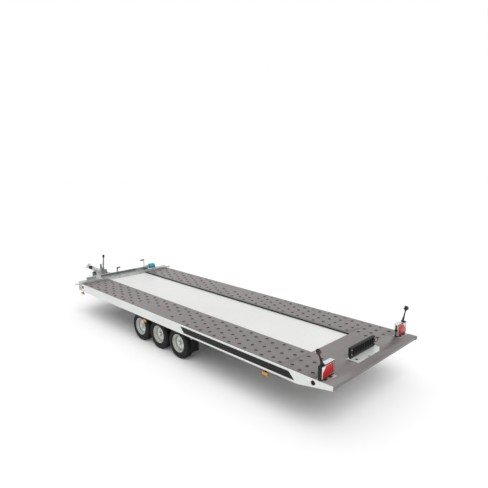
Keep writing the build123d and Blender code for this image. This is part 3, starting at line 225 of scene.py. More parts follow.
# ---------------------------------------------------------------- bolts of the steelwork
# Zinc-plated hexagon bolts with washers hold the saddle brackets of the three axle
# beams to the chassis rails, four to each side of a bracket.
def add_bolt(shape, seat, axis, across=0.018, height=0.008):
    """Hexagon head on a washer. Seat is its middle on the surface, and axis points out of it."""
    seat, axis = Vector(seat), Vector(axis)
    turn = axis.to_track_quat("Z", "Y").to_matrix().to_4x4()
    washer_top = height * 0.22
    washer_radius = across * 0.68
    corner_radius = across * 0.577
    for radius, low, high, sides in ((washer_radius, 0, washer_top, 16),
                                     (corner_radius, washer_top, height, 6)):
        made = bmesh.ops.create_cone(shape, cap_ends=True, segments=sides, radius1=radius, radius2=radius,
                                     depth=high - low,
                                     matrix=Matrix.Translation(seat) @ turn
                                     @ Matrix.Translation((0, 0, (low + high) / 2)))
        if sides == 6:
            top = [v for v in made["verts"] if (v.co - seat).dot(axis) > high - 1e-5]
            rim = [e for e in {e for v in top for e in v.link_edges} if all(v in top for v in e.verts)]
            bmesh.ops.bevel(shape, geom=rim, offset=height * 0.12, segments=1, profile=0.5,
                            material=-1, affect="EDGES")


def finish_piece(name, shape, body, *materials, slot, sharp_angle=35):
    """Close a bmesh into a piece of that name, which rides on a body of the trailer."""
    bmesh.ops.recalc_face_normals(shape, faces=shape.faces)
    mesh = bpy.data.meshes.new(name)
    shape.to_mesh(mesh)
    shape.free()
    for material in materials:
        mesh.materials.append(material)
    mesh.shade_smooth()
    mesh.set_sharp_from_angle(angle=radians(sharp_angle))
    made = bpy.data.objects.new(name, mesh)
    scene.collection.objects.link(made)
    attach(made, body)
    return made


# Zinc from a plating bath keeps a low shine, which sets each bolt off from the dull frame.
zinc_plate = drifting_coat("bright_zinc_plating", "#c8cac6", patch=0.02, shades=("#bdbfba", "#d2d4cf"),
                           relief=0.1, rough=(0.26, 0.4), Metallic=0.9, Roughness=0.32)
finish_cad(zinc_plate, "winch_drum", "winch_frame", "brake_rod", "overrun_shaft")

shape = bmesh.new()
beam_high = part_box("axle_beams")[1]
rail_y = 0.4
bracket_half_width = 0.03
beam_to_wheel = 0.149
bracket_foot_z = beam_high.z - 0.06
bolt_rows = ((-0.042, 0.018), (0.042, 0.018), (-0.042, 0.042), (0.042, 0.042))
for position in ("front", "middle", "rear"):
    wheel_x = sum(corner.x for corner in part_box(f"tyre_{position}_left")) / 2
    for side in (-1, 1):
        for face in (-1, 1):
            for along, above in bolt_rows:
                seat = Vector((wheel_x + beam_to_wheel + along, side * rail_y + face * bracket_half_width,
                               bracket_foot_z + above))
                add_bolt(shape, seat, (0, face, 0))
finish_piece("axle_bracket_bolts", shape, "chassis", zinc_plate, slot="galvanised")


# ---------------------------------------------------------------- side rails of the bed
# Rolled steel channels with a silver-grey satin coat close the bed on both sides. A
# rubber ring sits in each of the four round holes that take a strap hook.
def turned(shape, outline, centre, axis, segments=32, closed=False):
    """Turn an outline of (distance along the axis, radius) round an axis through centre."""
    centre, axis = Vector(centre), Vector(axis)
    across = axis.orthogonal().normalized()
    points = [shape.verts.new(centre + axis * along + across * radius) for along, radius in outline]
    pairs = list(zip(points, points[1:])) + ([(points[-1], points[0])] if closed else [])
    lines = [shape.edges.new(pair) for pair in pairs]
    bmesh.ops.spin(shape, geom=points + lines, cent=centre, axis=axis, dvec=(0, 0, 0), angle=tau,
                   steps=segments, use_merge=True, use_duplicate=False)
    on_axis = [v for v in shape.verts if (v.co - centre).cross(axis).length < 1e-6]
    bmesh.ops.remove_doubles(shape, verts=on_axis, dist=1e-6)


# Coil coating is even and satin, with long soft highlights and almost no grain. Its fine
# orange peel is drawn 4 mm coarse, so that it shows at all.
rail_coat = drifting_coat("satin_silver_coil_coating", "#e6e8e5", patch=0.6, shades=("#e2e4e1", "#ebedea"),
                          relief=0.05, rough=(0.36, 0.5), grain=0.004, Roughness=0.42, Metallic=0.15)
finish_cad(rail_coat, "side_rail_left", "side_rail_right")

# Moulded rubber is matt and nearly black, so only its edges show, as soft grey lines.
ring_rubber = drifting_coat("moulded_edge_ring_rubber", "#1c1d1d", patch=0.01,
                            shades=("#181919", "#252626"), relief=0.2, rough=(0.6, 0.8), Roughness=0.75,
                            Specular_IOR_Level=0.3)

rail_low, rail_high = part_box("side_rail_left")
ring_outline = ((-0.009, 0.0212), (0.002, 0.0208), (0.004, 0.023), (0.0042, 0.028), (0.002, 0.031),
                (0, 0.031), (0, 0.0216), (-0.009, 0.0216))
membrane_outline = ((-0.0085, 0.0214), (-0.0085, 0.014), (-0.0065, 0.012), (-0.0065, 0))
strap_holes = ((rail_low.x + 0.290, rail_high.z - 0.049), (rail_high.x - 0.045, rail_high.z - 0.060))
shape = bmesh.new()
for hole_x, hole_z in strap_holes:
    for side in (-1, 1):
        middle = Vector((hole_x, side * rail_high.y, hole_z))
        turned(shape, ring_outline, middle, (0, side, 0), closed=True)
        turned(shape, membrane_outline, middle, (0, side, 0))
finish_piece("strap_hole_rings", shape, "bed", ring_rubber, slot="black_rubber")


# ---------------------------------------------------------------- dark side strips
# A satin black band is let into each side rail over the rear half of the bed, its
# ends slanted. It is a vinyl film on thin sheet, bare and slightly wavy.

# Film on thin sheet waves a little, which breaks its satin sheen into broad patches.
strip_film = drifting_coat("satin_black_vinyl_film", "#1f1f1f", patch=0.35, shades=("#1b1b1b", "#242424"),
                           relief=0.2, rough=(0.44, 0.58), distance=0.002, Roughness=0.5,
                           Specular_IOR_Level=0.2)
finish_cad(strip_film, "side_strips")


# ---------------------------------------------------------------- punched wheel tracks
# Both tracks are 3 mm steel sheet, folded at the inner edge. Rows of round dimples are
# pressed into it, each with a raised rim for grip, a drain hole, and painted shade on its inner wall.
def add_bar(shape, low, high, rounded=0.0):
    """Straight bar between two opposite corners, with its edges rounded by that much."""
    low, high = Vector(low), Vector(high)
    size = [abs(reach) for reach in high - low]
    made = bmesh.ops.create_cube(shape, size=1, matrix=Matrix.Translation((low + high) / 2)
                                 @ Matrix.Diagonal((*size, 1)))
    if rounded:
        bmesh.ops.bevel(shape, geom=list({e for v in made["verts"] for e in v.link_edges}), offset=rounded,
                        segments=2, profile=0.5, material=-1, affect="EDGES")


def punched_sheet(shape, low, high, level, holes):
    """Sheet at that level with a raised collar round each hole."""
    corners = [shape.verts.new((x, y, level)) for x, y in ((low[0], low[1]), (high[0], low[1]),
                                                           (high[0], high[1]), (low[0], high[1]))]
    lines = [shape.edges.new(pair) for pair in zip(corners, corners[1:] + corners[:1])]
    for hole in holes:
        ring = bmesh.ops.create_circle(shape, segments=collar_sides, radius=collar_outline[0][1],
                                       matrix=Matrix.Translation((*hole, level)))
        lines += list({e for v in ring["verts"] for e in v.link_edges})
    filled = bmesh.ops.triangle_fill(shape, use_beauty=True, edges=lines, normal=(0, 0, 1))
    for face in filled["geom"]:
        if isinstance(face, bmesh.types.BMFace) and face.normal.z < 0:
            face.normal_flip()
    for hole in holes:
        before = len(shape.verts)
        shape.from_mesh(collar)
        shape.verts.ensure_lookup_table()
        bmesh.ops.translate(shape, verts=shape.verts[before:], vec=(*hole, level))
    bmesh.ops.remove_doubles(shape, verts=shape.verts, dist=1e-5)


def give_wall(made, thickness):
    """Give an open sheet its wall below the face that is seen."""
    wall = made.modifiers.new("wall", "SOLIDIFY")
    wall.thickness = thickness
    wall.offset = -1


collar_sides = 14
collar_outline = ((0, 0.0345), (0.0020, 0.0322), (0.0034, 0.0300), (0.0034, 0.0262), (0.0015, 0.0253),
                  (-0.0115, 0.0246), (-0.014, 0.0225), (-0.014, 0.0080))
hole_edge = 0.0259
hole_floor = -0.0138
collar_shape = bmesh.new()
points = [collar_shape.verts.new((0, radius, height)) for height, radius in collar_outline]
lines = [collar_shape.edges.new(pair) for pair in zip(points, points[1:])]
bmesh.ops.spin(collar_shape, geom=points + lines, cent=(0, 0, 0), axis=(0, 0, 1), dvec=(0, 0, 0), angle=tau,
               steps=collar_sides, use_merge=True, use_duplicate=False)
bmesh.ops.recalc_face_normals(collar_shape, faces=collar_shape.faces)
if sum(face.normal.z for face in collar_shape.faces) < 0:
    bmesh.ops.reverse_faces(collar_shape, faces=collar_shape.faces)
# The inner wall of each dimple takes the second material, which paints the shade in it.
for face in collar_shape.faces:
    middle = face.calc_center_median()
    face.material_index = int(middle.xy.length < hole_edge and middle.z > hole_floor)
collar = bpy.data.meshes.new("punched_collar")
collar_shape.to_mesh(collar)
collar_shape.free()

# Grit in the coating takes most of its gloss and gives the grey-brown a fine speckle. The
# grit is drawn 5 mm coarse, because real grit of 1 mm is too fine to show.
track_coat, tree, shader = new_material("grey_brown_grip_coating", "#736e6c", Roughness=0.42)
place, cloud, shade = drift(tree, patch=0.9, shades=("#666160", "#787271"), contrast=0.3)
grit_size = 0.005
grit = noise(tree, place, grit_size, detail=4, rough=0.7)
speckle = add_node(tree, "ShaderNodeMapRange",
                   {"Value": grit, "From Min": 0.3, "From Max": 0.7, "To Min": 0.44, "To Max": 0.56})
tint = mixed(tree, 0.7, shade, speckle.outputs["Result"], blend_type="OVERLAY")
tree.links.new(tint, shader.inputs["Base Color"])
rough_and_bump(tree, shader, grit, relief=0.25, rough=(0.28, 0.44))

# Painted shade: the inner wall of each dimple is a flat, dull dark brown with no shine, for the shade in
# it.
dimple_wall_painted_shade = drifting_coat("painted_shade_in_dimples", "#57514d", patch=0.03, shades=("#4e4845", "#605a56"),
                           relief=0.3, rough=(0.8, 0.95), Roughness=0.9)

column_pitch = 0.1632
first_column = middle_axle_x - 0.591
wide_pitch = 0.1585
narrow_pitch = 0.1765
wide_rows = [0.570 + wide_pitch * row for row in range(4)]
narrow_rows = [0.635 + narrow_pitch * row for row in range(3)]
edge_margin = 0.052
most_columns = 60
# Above the wheels the sheet is plain between these places, from the outer rows outwards.
wide_plain_from = -0.66
narrow_plain_from = -0.36
plain_to = 0.61
outer_row = 0.85


def track_holes(low_x, high_x, side):
    """Middles of the holes on one side of the bed: columns of four and three by turns."""
    holes = []
    for column in range(-most_columns, most_columns + 1):
        hole_x = first_column + column * column_pitch
        if not low_x + edge_margin < hole_x < high_x - edge_margin:
            continue
        rows, plain_from = (narrow_rows, narrow_plain_from) if column % 2 else (wide_rows, wide_plain_from)
        over_wheels = plain_from < hole_x - middle_axle_x < plain_to
        holes += [(hole_x, side * hole_y) for hole_y in rows if not (over_wheels and hole_y > outer_row)]
    return holes


# Name of each side of the trailer, and the sign of its y.
hands = (("left", 1), ("right", -1))
sheet = 0.003
# Folds reach into the sheet above them, so that no gap shows.
into_sheet = sheet * 0.9
fold_rounding = 0.0008
for hand, side in hands:
    low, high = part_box(f"track_{hand}")
    shape = bmesh.new()
    punched_sheet(shape, (low.x, low.y), (high.x, high.y), high.z, track_holes(low.x, high.x, side))
    track = finish_piece(f"punched_track_{hand}", shape, "bed", track_coat, dimple_wall_painted_shade,
                         slot="track_coating")
    give_wall(track, sheet)
    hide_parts(f"track_{hand}")
    shape = bmesh.new()
    inner_edge = low.y if side > 0 else high.y
    # The inner fold, and two ribs below the sheet that run between its rows of dimples.
    for rib in (0, 0.194, 0.449):
        add_bar(shape, (low.x, inner_edge + side * rib, low.z),
                (high.x, inner_edge + side * (rib + sheet), high.z - into_sheet), rounded=fold_rounding)
    finish_piece(f"track_folds_{hand}", shape, "bed", track_coat, slot="track_coating")


# ---------------------------------------------------------------- rear deck
# One sheet closes the tail from side to side, plain in its middle and punched like the
# tracks beside it. Its edges are folded down, and caps close the ends of the side rails.
low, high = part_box("rear_deck")
lights_front_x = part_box("light_housing_left")[1].x
shape = bmesh.new()
holes = [hole for side in (-1, 1) for hole in track_holes(lights_front_x, high.x + column_pitch / 3, side)]
punched_sheet(shape, (low.x, low.y), (high.x, high.y), high.z, holes)
deck = finish_piece("punched_rear_deck", shape, "bed", track_coat, dimple_wall_painted_shade, slot="track_coating")
give_wall(deck, sheet)
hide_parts("rear_deck")
shape = bmesh.new()
fold_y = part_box("side_rail_left")[0].y - 0.001
fold_top = high.z - into_sheet
front_fold = 0.044
cap_depth = 0.053
add_bar(shape, (high.x - sheet, -fold_y, low.z), (high.x, fold_y, fold_top), rounded=fold_rounding)
add_bar(shape, (low.x, -fold_y, high.z - front_fold), (low.x + sheet, fold_y, fold_top),
        rounded=fold_rounding)
for side in (-1, 1):
    add_bar(shape, (low.x - 0.002, side * (fold_y - 0.001), high.z - cap_depth),
            (low.x + 0.004, side * rail_high.y, high.z + 0.001), rounded=0.001)
# Ribs below the sheet run between its rows of dimples.
for rib_y in (-0.77, -0.4, 0, 0.4, 0.767):
    add_bar(shape, (low.x + sheet, rib_y, low.z), (high.x - sheet, rib_y + sheet, fold_top))
finish_piece("rear_deck_folds", shape, "bed", track_coat, slot="track_coating")


# ---------------------------------------------------------------- centre panel
# The floor between the tracks is flat off-white coated sheet, sunk below them and held
# to each cross bearer by socket screws. A black rubber strip stands along each long edge,
# and paints the shade in the step down from the tracks.

# Sprayed enamel is smooth and off-white, with a soft sheen that dust dulls in patches.
panel_coat, tree, shader = new_material("off_white_panel_enamel", "#dadad9", Roughness=0.35)
place, cloud, shade = drift(tree, patch=1.2, shades=("#dadad9", "#e2e2e1"))
dust_patch = 0.03
dust = noise(tree, place, dust_patch, detail=5, rough=0.65)
tree.links.new(shade, shader.inputs["Base Color"])
rough_and_bump(tree, shader, dust, relief=0.08, rough=(0.26, 0.42), distance=0.0006)
finish_cad(panel_coat, "centre_panel")

low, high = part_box("centre_panel")
bearer_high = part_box("cross_bearers")[1]
bearer_pitch = 0.640
screw_outline = ((0.0004, 0.0085), (0.0012, 0.0075), (0.0012, 0.0036), (-0.0012, 0.0032), (-0.0012, 0))
shape = bmesh.new()
screw_x = bearer_high.x - 0.030
while screw_x > low.x + 0.03:
    for screw_y in (-0.46, -0.23, 0, 0.23, 0.46):
        turned(shape, screw_outline, (screw_x, screw_y, high.z), (0, 0, 1), segments=10)
    screw_x -= bearer_pitch
finish_piece("panel_screws", shape, "bed", zinc_plate, slot="galvanised")

# The black strips paint the shade in the step between the tracks and the sunk panel.
edge_strip_height = 0.023
shape = bmesh.new()
for side in (-1, 1):
    add_bar(shape, (low.x, side * (high.y + 0.0005), high.z),
            (high.x, side * (high.y - 0.0025), high.z + edge_strip_height), rounded=0.0008)
finish_piece("panel_edge_strips", shape, "bed", ring_rubber, slot="black_rubber")


# ---------------------------------------------------------------- side marker lamps
# Six moulded amber lamps hang below the side rails. Each has a ribbed acrylic lens
# on a black base, screwed to a bent black bracket.

# Leather-grained ABS scatters the light, so that its black looks soft and a little grey. The
# grain is drawn 2 mm wide, twice as coarse as it is, so that it shows.
black_abs, tree, shader = new_material("textured_black_abs", "#181919", Roughness=0.6,
                                       Specular_IOR_Level=0.3)
place, cloud, shade = drift(tree, patch=0.05, shades=("#141515", "#202121"))
leather_grain = 0.002
leather = add_node(tree, "ShaderNodeTexVoronoi", {"Vector": place, "Scale": 1 / leather_grain})
tree.links.new(shade, shader.inputs["Base Color"])
rough_and_bump(tree, shader, leather.outputs["Distance"], relief=0.25, rough=(0.5, 0.7), distance=0.0005)
finish_cad(black_abs, "marker_brackets", "plate_holder")


def fine_ribs(tree, place, pitch, direction):
    """Pattern of soft ribs, that far apart along an axis."""
    ribs = add_node(tree, "ShaderNodeTexWave", {"Vector": place, "Scale": 1 / pitch / pi},
                    bands_direction=direction)
    return ribs.outputs["Fac"]


def ribbed_lens(name, colour, deep_colour, rib, direction="X"):
    """Moulded acrylic whose ribs, that far apart, catch the light in fine lines."""
    lens, tree, shader = new_material(name, colour, Roughness=0.25, Specular_IOR_Level=0.3)
    place = add_node(tree, "ShaderNodeTexCoord").outputs["Object"]
    ribs = fine_ribs(tree, place, rib, direction)
    shade = mixed(tree, ribs, linear(deep_colour), linear(colour))
    tree.links.new(shade, shader.inputs["Base Color"])
    rough_and_bump(tree, shader, ribs, relief=0.4, distance=0.0008)
    return lens


# Amber acrylic glows along the tops of its ribs and darkens to orange between them.
amber_acrylic = ribbed_lens("amber_lamp_acrylic", "#eaa93a", "#c98528", rib=0.006)
finish_cad(amber_acrylic, "marker_lamps")
lamp_low, lamp_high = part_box("marker_lamps")
bracket_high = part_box("marker_brackets")[1]
lamp_half = 0.0475
base_edge = 0.004
middle_lamp_ahead = 0.262
marker_places = (lamp_high.x - lamp_half, middle_axle_x + middle_lamp_ahead, lamp_low.x + lamp_half)
shape = bmesh.new()
for lamp_x in marker_places:
    for side in (-1, 1):
        add_bar(shape,
                (lamp_x - lamp_half - base_edge, side * (bracket_high.y - 0.001), lamp_low.z - 0.003),
                (lamp_x + lamp_half + base_edge, side * (bracket_high.y + 0.007), lamp_high.z + 0.003),
                rounded=0.003)
finish_piece("marker_lamp_bases", shape, "bed", black_abs, slot="black_plastic")


# ---------------------------------------------------------------- front position lamps
# A white lamp on a short plated arm stands out at each end of the front beam, to show
# the full width of the bed.

# Clear acrylic over a pale reflector looks white, with fine grey ribs.
white_acrylic = ribbed_lens("clear_white_lamp_acrylic", "#eceeec", "#cdd2d0", rib=0.005, direction="Y")
finish_cad(white_acrylic, "front_lamps")
low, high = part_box("front_lamps")
lamp_x = (low.x + high.x) / 2
lamp_z = (low.z + high.z) / 2
arm_outline = ((0, 0.020), (0.012, 0.020), (0.020, 0.013), (0.060, 0.0105), (0.068, 0.0225),
               (0.078, 0.0225), (0.080, 0.012))
shape = bmesh.new()
for side in (-1, 1):
    turned(shape, arm_outline, (lamp_x, side * rail_high.y, lamp_z), (0, side, 0), segments=24)
finish_piece("front_lamp_arms", shape, "bed", zinc_plate, slot="winch_steel")


# ---------------------------------------------------------------- rear lights
# Each rear light is a black housing with one wide moulded lens, clear round its edge
# and red where it lights. A bright zinc sheet covers its top and edges its inner side.
def add_plate(shape, corners, depth, rounded=0.0):
    """Flat plate of that outline, which goes as deep as the vector, with its edges rounded."""
    base = shape.faces.new([shape.verts.new(corner) for corner in corners])
    grown = bmesh.ops.extrude_face_region(shape, geom=[base], use_keep_orig=True)
    far = [v for v in grown["geom"] if isinstance(v, bmesh.types.BMVert)]
    bmesh.ops.translate(shape, verts=far, vec=depth)
    if rounded:
        rim = list({e for v in far + list(base.verts) for e in v.link_edges})
        bmesh.ops.bevel(shape, geom=rim, offset=rounded, segments=2, profile=0.5, material=-1,
                        affect="EDGES")


# Fresh galvanised sheet is smoother and lighter than the dipped frame, with a faint bloom.
sheet_zinc = drifting_coat("bright_galvanised_sheet", "#d4d7d3", patch=0.05, shades=("#c9ccc8", "#dfe1dd"),
                           relief=0.12, rough=(0.3, 0.48), Metallic=0.35, Roughness=0.38)

# Red acrylic is deep and glossy, and its level ribs show as fine darker lines.
red_acrylic = ribbed_lens("red_lamp_acrylic", "#d4141a", "#a2080e", rib=0.007, direction="Z")
lens_low, lens_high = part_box("light_lens_left")
lens_width = lens_high.y - lens_low.y
lens_height = lens_high.z - lens_low.z
lens_depth = 0.011
lens_gap = 0.0003
red_lens_proud = 0.004
housing_edge = 0.014
housing_depth = 0.052
housing_front_x = lens_low.x + 0.100
housing_top = lens_high.z + housing_edge
housing_bottom = lens_low.z - housing_edge
housing_inner_y = lens_low.y - housing_edge
face_x = housing_front_x - housing_depth
hinge_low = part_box("light_hinges")[0]
hinge_x = housing_front_x + 0.014
hinge_z = hinge_low.z + 0.016
knuckle_radius = 0.008
knuckle_from_ears = 0.036
hinge_plate = ((-0.014, 0.004), (-0.0052, 0.006), (-0.006, -0.0052), (-0.020, -0.0055))
# Corners of the red part, as shares of the lens from its outer lower corner.
red_outline = ((0.06, 0.02), (0.06, 0.48), (0.36, 0.97), (0.955, 0.97), (0.955, 0.14), (0.88, 0.02))
gland_outline = ((0, 0.022), (0.006, 0.022), (0.009, 0.0195), (0.009, 0.014), (0.016, 0.0125),
                 (0.020, 0.008), (0.020, 0))
hood_sheet = 0.002
hood_inner_reach = 0.012
hood_from_outside = 0.075
hood_ahead = 0.020
edge_width = 0.014
foot_height = 0.004
foot_width = 0.20
housing_rounding = 0.003
for hand, side in hands:
    shape = bmesh.new()
    add_bar(shape, (face_x, side * housing_inner_y, housing_bottom),
            (housing_front_x, side * (lens_high.y + housing_edge), housing_top), rounded=housing_rounding)
    back = [min(shape.faces, key=lambda face: face.calc_center_median().x)]
    bmesh.ops.inset_region(shape, faces=back, thickness=housing_edge - housing_rounding - lens_gap,
                           use_even_offset=True)
    bmesh.ops.inset_region(shape, faces=back, thickness=lens_gap, depth=-lens_depth, use_even_offset=True)
    near, far = sorted((side * (housing_inner_y + knuckle_from_ears),
                        side * (lens_high.y + housing_edge - knuckle_from_ears)))
    turned(shape, ((0, 0.0045), (0, knuckle_radius), (far - near, knuckle_radius), (far - near, 0.0045)),
           (hinge_x, near, hinge_z), (0, 1, 0), segments=16)
    add_plate(shape, [(hinge_x + across, near, hinge_z + up) for across, up in hinge_plate],
              (0, far - near, 0))
    housing = finish_piece(f"moulded_housing_{hand}", shape, f"light_{hand}", black_abs,
                           slot="black_plastic")
    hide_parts(f"light_housing_{hand}")

    shape = bmesh.new()
    add_bar(shape, (face_x, side * lens_low.y, lens_low.z),
            (face_x + lens_depth - lens_gap, side * lens_high.y, lens_high.z), rounded=0.002)
    lens = finish_piece(f"clear_lens_{hand}", shape, f"light_{hand}", white_acrylic, slot="white_lens")
    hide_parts(f"light_lens_{hand}")

    shape = bmesh.new()
    add_plate(shape, [(face_x, side * (lens_high.y - across * lens_width), lens_low.z + up * lens_height)
                      for across, up in red_outline], (-red_lens_proud, 0, 0), rounded=0.0015)
    finish_piece(f"red_lens_{hand}", shape, f"light_{hand}", red_acrylic, slot="red_lens")

    shape = bmesh.new()
    add_bar(shape, (face_x + 0.003, side * (housing_inner_y - hood_inner_reach), housing_top),
            (housing_front_x + hood_ahead, side * (lens_high.y - hood_from_outside),
             housing_top + hood_sheet), rounded=0.0006)
    for edge_x in (face_x + 0.002, housing_front_x - 0.016):
        add_bar(shape, (edge_x, side * (housing_inner_y - hood_sheet), lens_low.z),
                (edge_x + edge_width, side * housing_inner_y, housing_top + 0.0005), rounded=0.0005)
    finish_piece(f"light_hood_{hand}", shape, f"light_{hand}", sheet_zinc, slot="galvanised")

    shape = bmesh.new()
    turned(shape, gland_outline, (face_x + housing_depth / 2, side * housing_inner_y, lens_low.z + 0.085),
           (0, -side, 0), segments=24)
    finish_piece(f"lamp_holder_{hand}", shape, f"light_{hand}", black_abs, slot="black_plastic")

shape = bmesh.new()
for side in (-1, 1):
    for from_side in (0.18, 0.62):
        add_bar(shape, (face_x - 0.022, side * (lens_high.y - from_side * lens_width), hinge_low.z + sheet),
                (housing_front_x - 0.008, side * (lens_high.y - (from_side + foot_width) * lens_width),
                 hinge_low.z + sheet + foot_height), rounded=0.001)
finish_piece("light_rest_buffers", shape, "bed", ring_rubber, slot="black_rubber")


# ---------------------------------------------------------------- outline lamps on rubber stalks
# A rubber stalk leans outwards from each rear light. Its rounded head holds a small
# lamp, red behind and white in front, which shows the full width of the trailer.

# Unlit, these small lamps look wine red, and nearly black between their ribs.
dark_red_acrylic = ribbed_lens("dark_red_lamp_acrylic", "#86182a", "#58101c", rib=0.006, direction="Z")
stalk_lean = radians(26)
stalk_outline = ((-0.003, 0), (-0.003, 0.024), (0.014, 0.024), (0.018, 0.020), (0.022, 0.017),
                 (0.120, 0.010), (0.200, 0.0095), (0.200, 0))
stalk_foot = Vector((housing_front_x - 0.020, lens_high.y - 0.048, housing_top))
to_lamp = 0.214
head_scale = 1.12
head_outline = ((-0.034, 0), (-0.034, 0.0125), (-0.026, 0.019), (-0.016, 0.025), (0.018, 0.026),
                (0.026, 0.021), (0.029, 0.010), (0.029, 0))
glass_outline = ((0.006, 0.0225), (0.024, 0.0225), (0.029, 0.019), (0.032, 0.010), (0.033, 0))
for hand, side in hands:
    along = Vector((0, side * sin(stalk_lean), cos(stalk_lean)))
    foot = Vector((stalk_foot.x, side * stalk_foot.y, stalk_foot.z))
    shape = bmesh.new()
    turned(shape, stalk_outline, foot, along, segments=24)
    finish_piece(f"rubber_stalk_{hand}", shape, f"light_{hand}", ring_rubber, slot="black_rubber")
    shape = bmesh.new()
    turned(shape, [(out * head_scale, radius * head_scale) for out, radius in head_outline],
           foot + along * to_lamp, along, segments=24)
    finish_piece(f"stalk_head_{hand}", shape, f"light_{hand}", ring_rubber, slot="black_rubber",
                 sharp_angle=50)
    for colour, glass, facing, slot in (("red", dark_red_acrylic, -1, "red_lens"),
                                        ("white", white_acrylic, 1, "white_lens")):
        shape = bmesh.new()
        turned(shape, [(out * head_scale, radius * head_scale) for out, radius in glass_outline],
               foot + along * to_lamp, (facing, 0, 0), segments=20)
        finish_piece(f"stalk_lamp_{colour}_{hand}", shape, f"light_{hand}", glass, slot=slot,
                     sharp_angle=50)


# ---------------------------------------------------------------- number plate holder
# The folding holder is a black moulded grid with no plate in it. A bent wire handle
# sticks out of its right end. The galvanised sheet below it carries both hinge ears.
def bent_wire(name, corners, radius, bend, body, material):
    """Round wire through those corners, each rounded from that distance before to after it."""
    corners = [Vector(corner) for corner in corners]
    line = [corners[0]]
    for before, corner, after in zip(corners, corners[1:], corners[2:]):
        line += [corner + (before - corner).normalized() * bend, corner,
                 corner + (after - corner).normalized() * bend]
    line.append(corners[-1])
    path = bpy.data.curves.new(name, "CURVE")
    path.dimensions = "3D"
    path.bevel_depth = radius
    path.bevel_resolution = 3
    path.resolution_u = 4
    path.use_fill_caps = True
    spline = path.splines.new("NURBS")
    spline.points.add(len(line) - 1)
    for point, here in zip(spline.points, line):
        point.co = (*here, 1)
    spline.use_endpoint_u = True
    spline.order_u = 3
    path.materials.append(material)
    made = bpy.data.objects.new(name, path)
    scene.collection.objects.link(made)
    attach(made, body)


finish_cad(sheet_zinc, "plate_base")
low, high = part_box("plate_holder")
handle_x = (low.x + high.x) / 2
handle_corners = ((handle_x, low.y + 0.01, 0.800), (handle_x, low.y - 0.108, 0.795),
                  (handle_x, low.y - 0.116, 0.742), (handle_x, low.y + 0.01, 0.748))
bent_wire("plate_holder_handle", handle_corners, radius=0.004, bend=0.014, body="plate_holder",
          material=black_abs)
shape = bmesh.new()
for end in (-1, 1):
    for bolt_z in (low.z + 0.045, high.z - 0.030):
        add_bolt(shape, (low.x, end * (high.y - 0.020), bolt_z), (-1, 0, 0), across=0.013, height=0.006)
finish_piece("plate_holder_bolts", shape, "plate_holder", zinc_plate, slot="galvanised")
base_low, base_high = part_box("plate_base")
shape = bmesh.new()
grommet_seat = (base_high.x - 0.110, 0.264, base_low.z + sheet)
grommet_outline = ((-0.002, 0.0125), (0.001, 0.0125), (0.001, 0.020), (0, 0.020), (-0.002, 0.0137))
turned(shape, grommet_outline, grommet_seat, (0, 0, 1), segments=20, closed=True)
turned(shape, ((-0.0025, 0.0136), (-0.0015, 0)), grommet_seat, (0, 0, 1), segments=20)
finish_piece("cable_grommet", shape, "bed", ring_rubber, slot="black_rubber")


# ---------------------------------------------------------------- front beam and raised rail
# The raised rail on the front beam is a galvanised channel, open towards the bed, so
# its inside is in shade, and a darker sheet inside its web paints that shade. Square plates
# close its ends, and bolts hold it to the beam.

# Painted shade: zinc made a flat, dark grey-green with hardly any shine, for the shaded inside of the
# channel.
channel_painted_shade = drifting_coat("galvanised_with_painted_shade", "#767d79", patch=0.2,
                            shades=("#6b726e", "#838a86"), relief=0.15, rough=(0.45, 0.65), Metallic=0.5,
                            Roughness=0.55)
low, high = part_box("winch_rail")
wall = 0.005
into_wall = wall * 0.9
web_x = high.x - into_wall
slot_end_y = -0.30
shape = bmesh.new()
add_bar(shape, (high.x - wall, low.y, low.z), (high.x, high.y, high.z), rounded=0.001)
for near_z, far_z in ((low.z, low.z + wall), (high.z - wall, high.z)):
    add_bar(shape, (low.x, low.y, near_z), (web_x, high.y, far_z), rounded=0.001)
for end_y in (low.y, slot_end_y, high.y - wall):
    add_bar(shape, (low.x + 0.001, end_y, low.z + into_wall), (web_x, end_y + wall, high.z - into_wall))
rail = finish_piece("winch_rail_channel", shape, "bed", galvanised, slot="galvanised")
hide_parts("winch_rail")
# A darker sheet just inside the web paints the shade in the channel.
shape = bmesh.new()
add_bar(shape, (high.x - 2 * wall, slot_end_y + 2 * wall, low.z + 2 * wall),
        (high.x - wall * 0.95, high.y - 2 * wall, high.z - 2 * wall), rounded=0.001)
finish_piece("painted_shade_on_rail_web", shape, "bed", channel_painted_shade, slot="galvanised")
beam_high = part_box("front_beam")[1]
end_rail_y = (0.716, 0.940)
bracket_y = (0.662, 0.708)
bracket_sheet = 0.005
end_top = high.z - 0.002
shape = bmesh.new()
add_bar(shape, (high.x - wall, end_rail_y[0], beam_high.z), (high.x, end_rail_y[1], end_top), rounded=0.001)
for near_z in (beam_high.z, end_top - wall):
    add_bar(shape, (low.x, end_rail_y[0], near_z), (web_x, end_rail_y[1], near_z + wall), rounded=0.001)
finish_piece("winch_rail_end", shape, "bed", galvanised, slot="galvanised")
shape = bmesh.new()
add_bar(shape, (low.x + 0.004, bracket_y[0], beam_high.z),
        (low.x + 0.004 + bracket_sheet, bracket_y[1], high.z + 0.012), rounded=0.001)
add_bar(shape, (low.x + 0.008, bracket_y[0], beam_high.z),
        (high.x, bracket_y[1], beam_high.z + bracket_sheet), rounded=0.001)
finish_piece("rail_end_bracket", shape, "bed", sheet_zinc, slot="galvanised")
shape = bmesh.new()
for bolt_y in (-0.50, -0.20, 0.10, 0.40, 0.58):
    add_bolt(shape, ((low.x + high.x) / 2, bolt_y, high.z), (0, 0, 1), across=0.016, height=0.008)
for bolt_y in (-1.02, -0.88, 1.02):
    add_bolt(shape, (beam_high.x - 0.03, bolt_y, beam_high.z), (0, 0, 1), across=0.018, height=0.009)
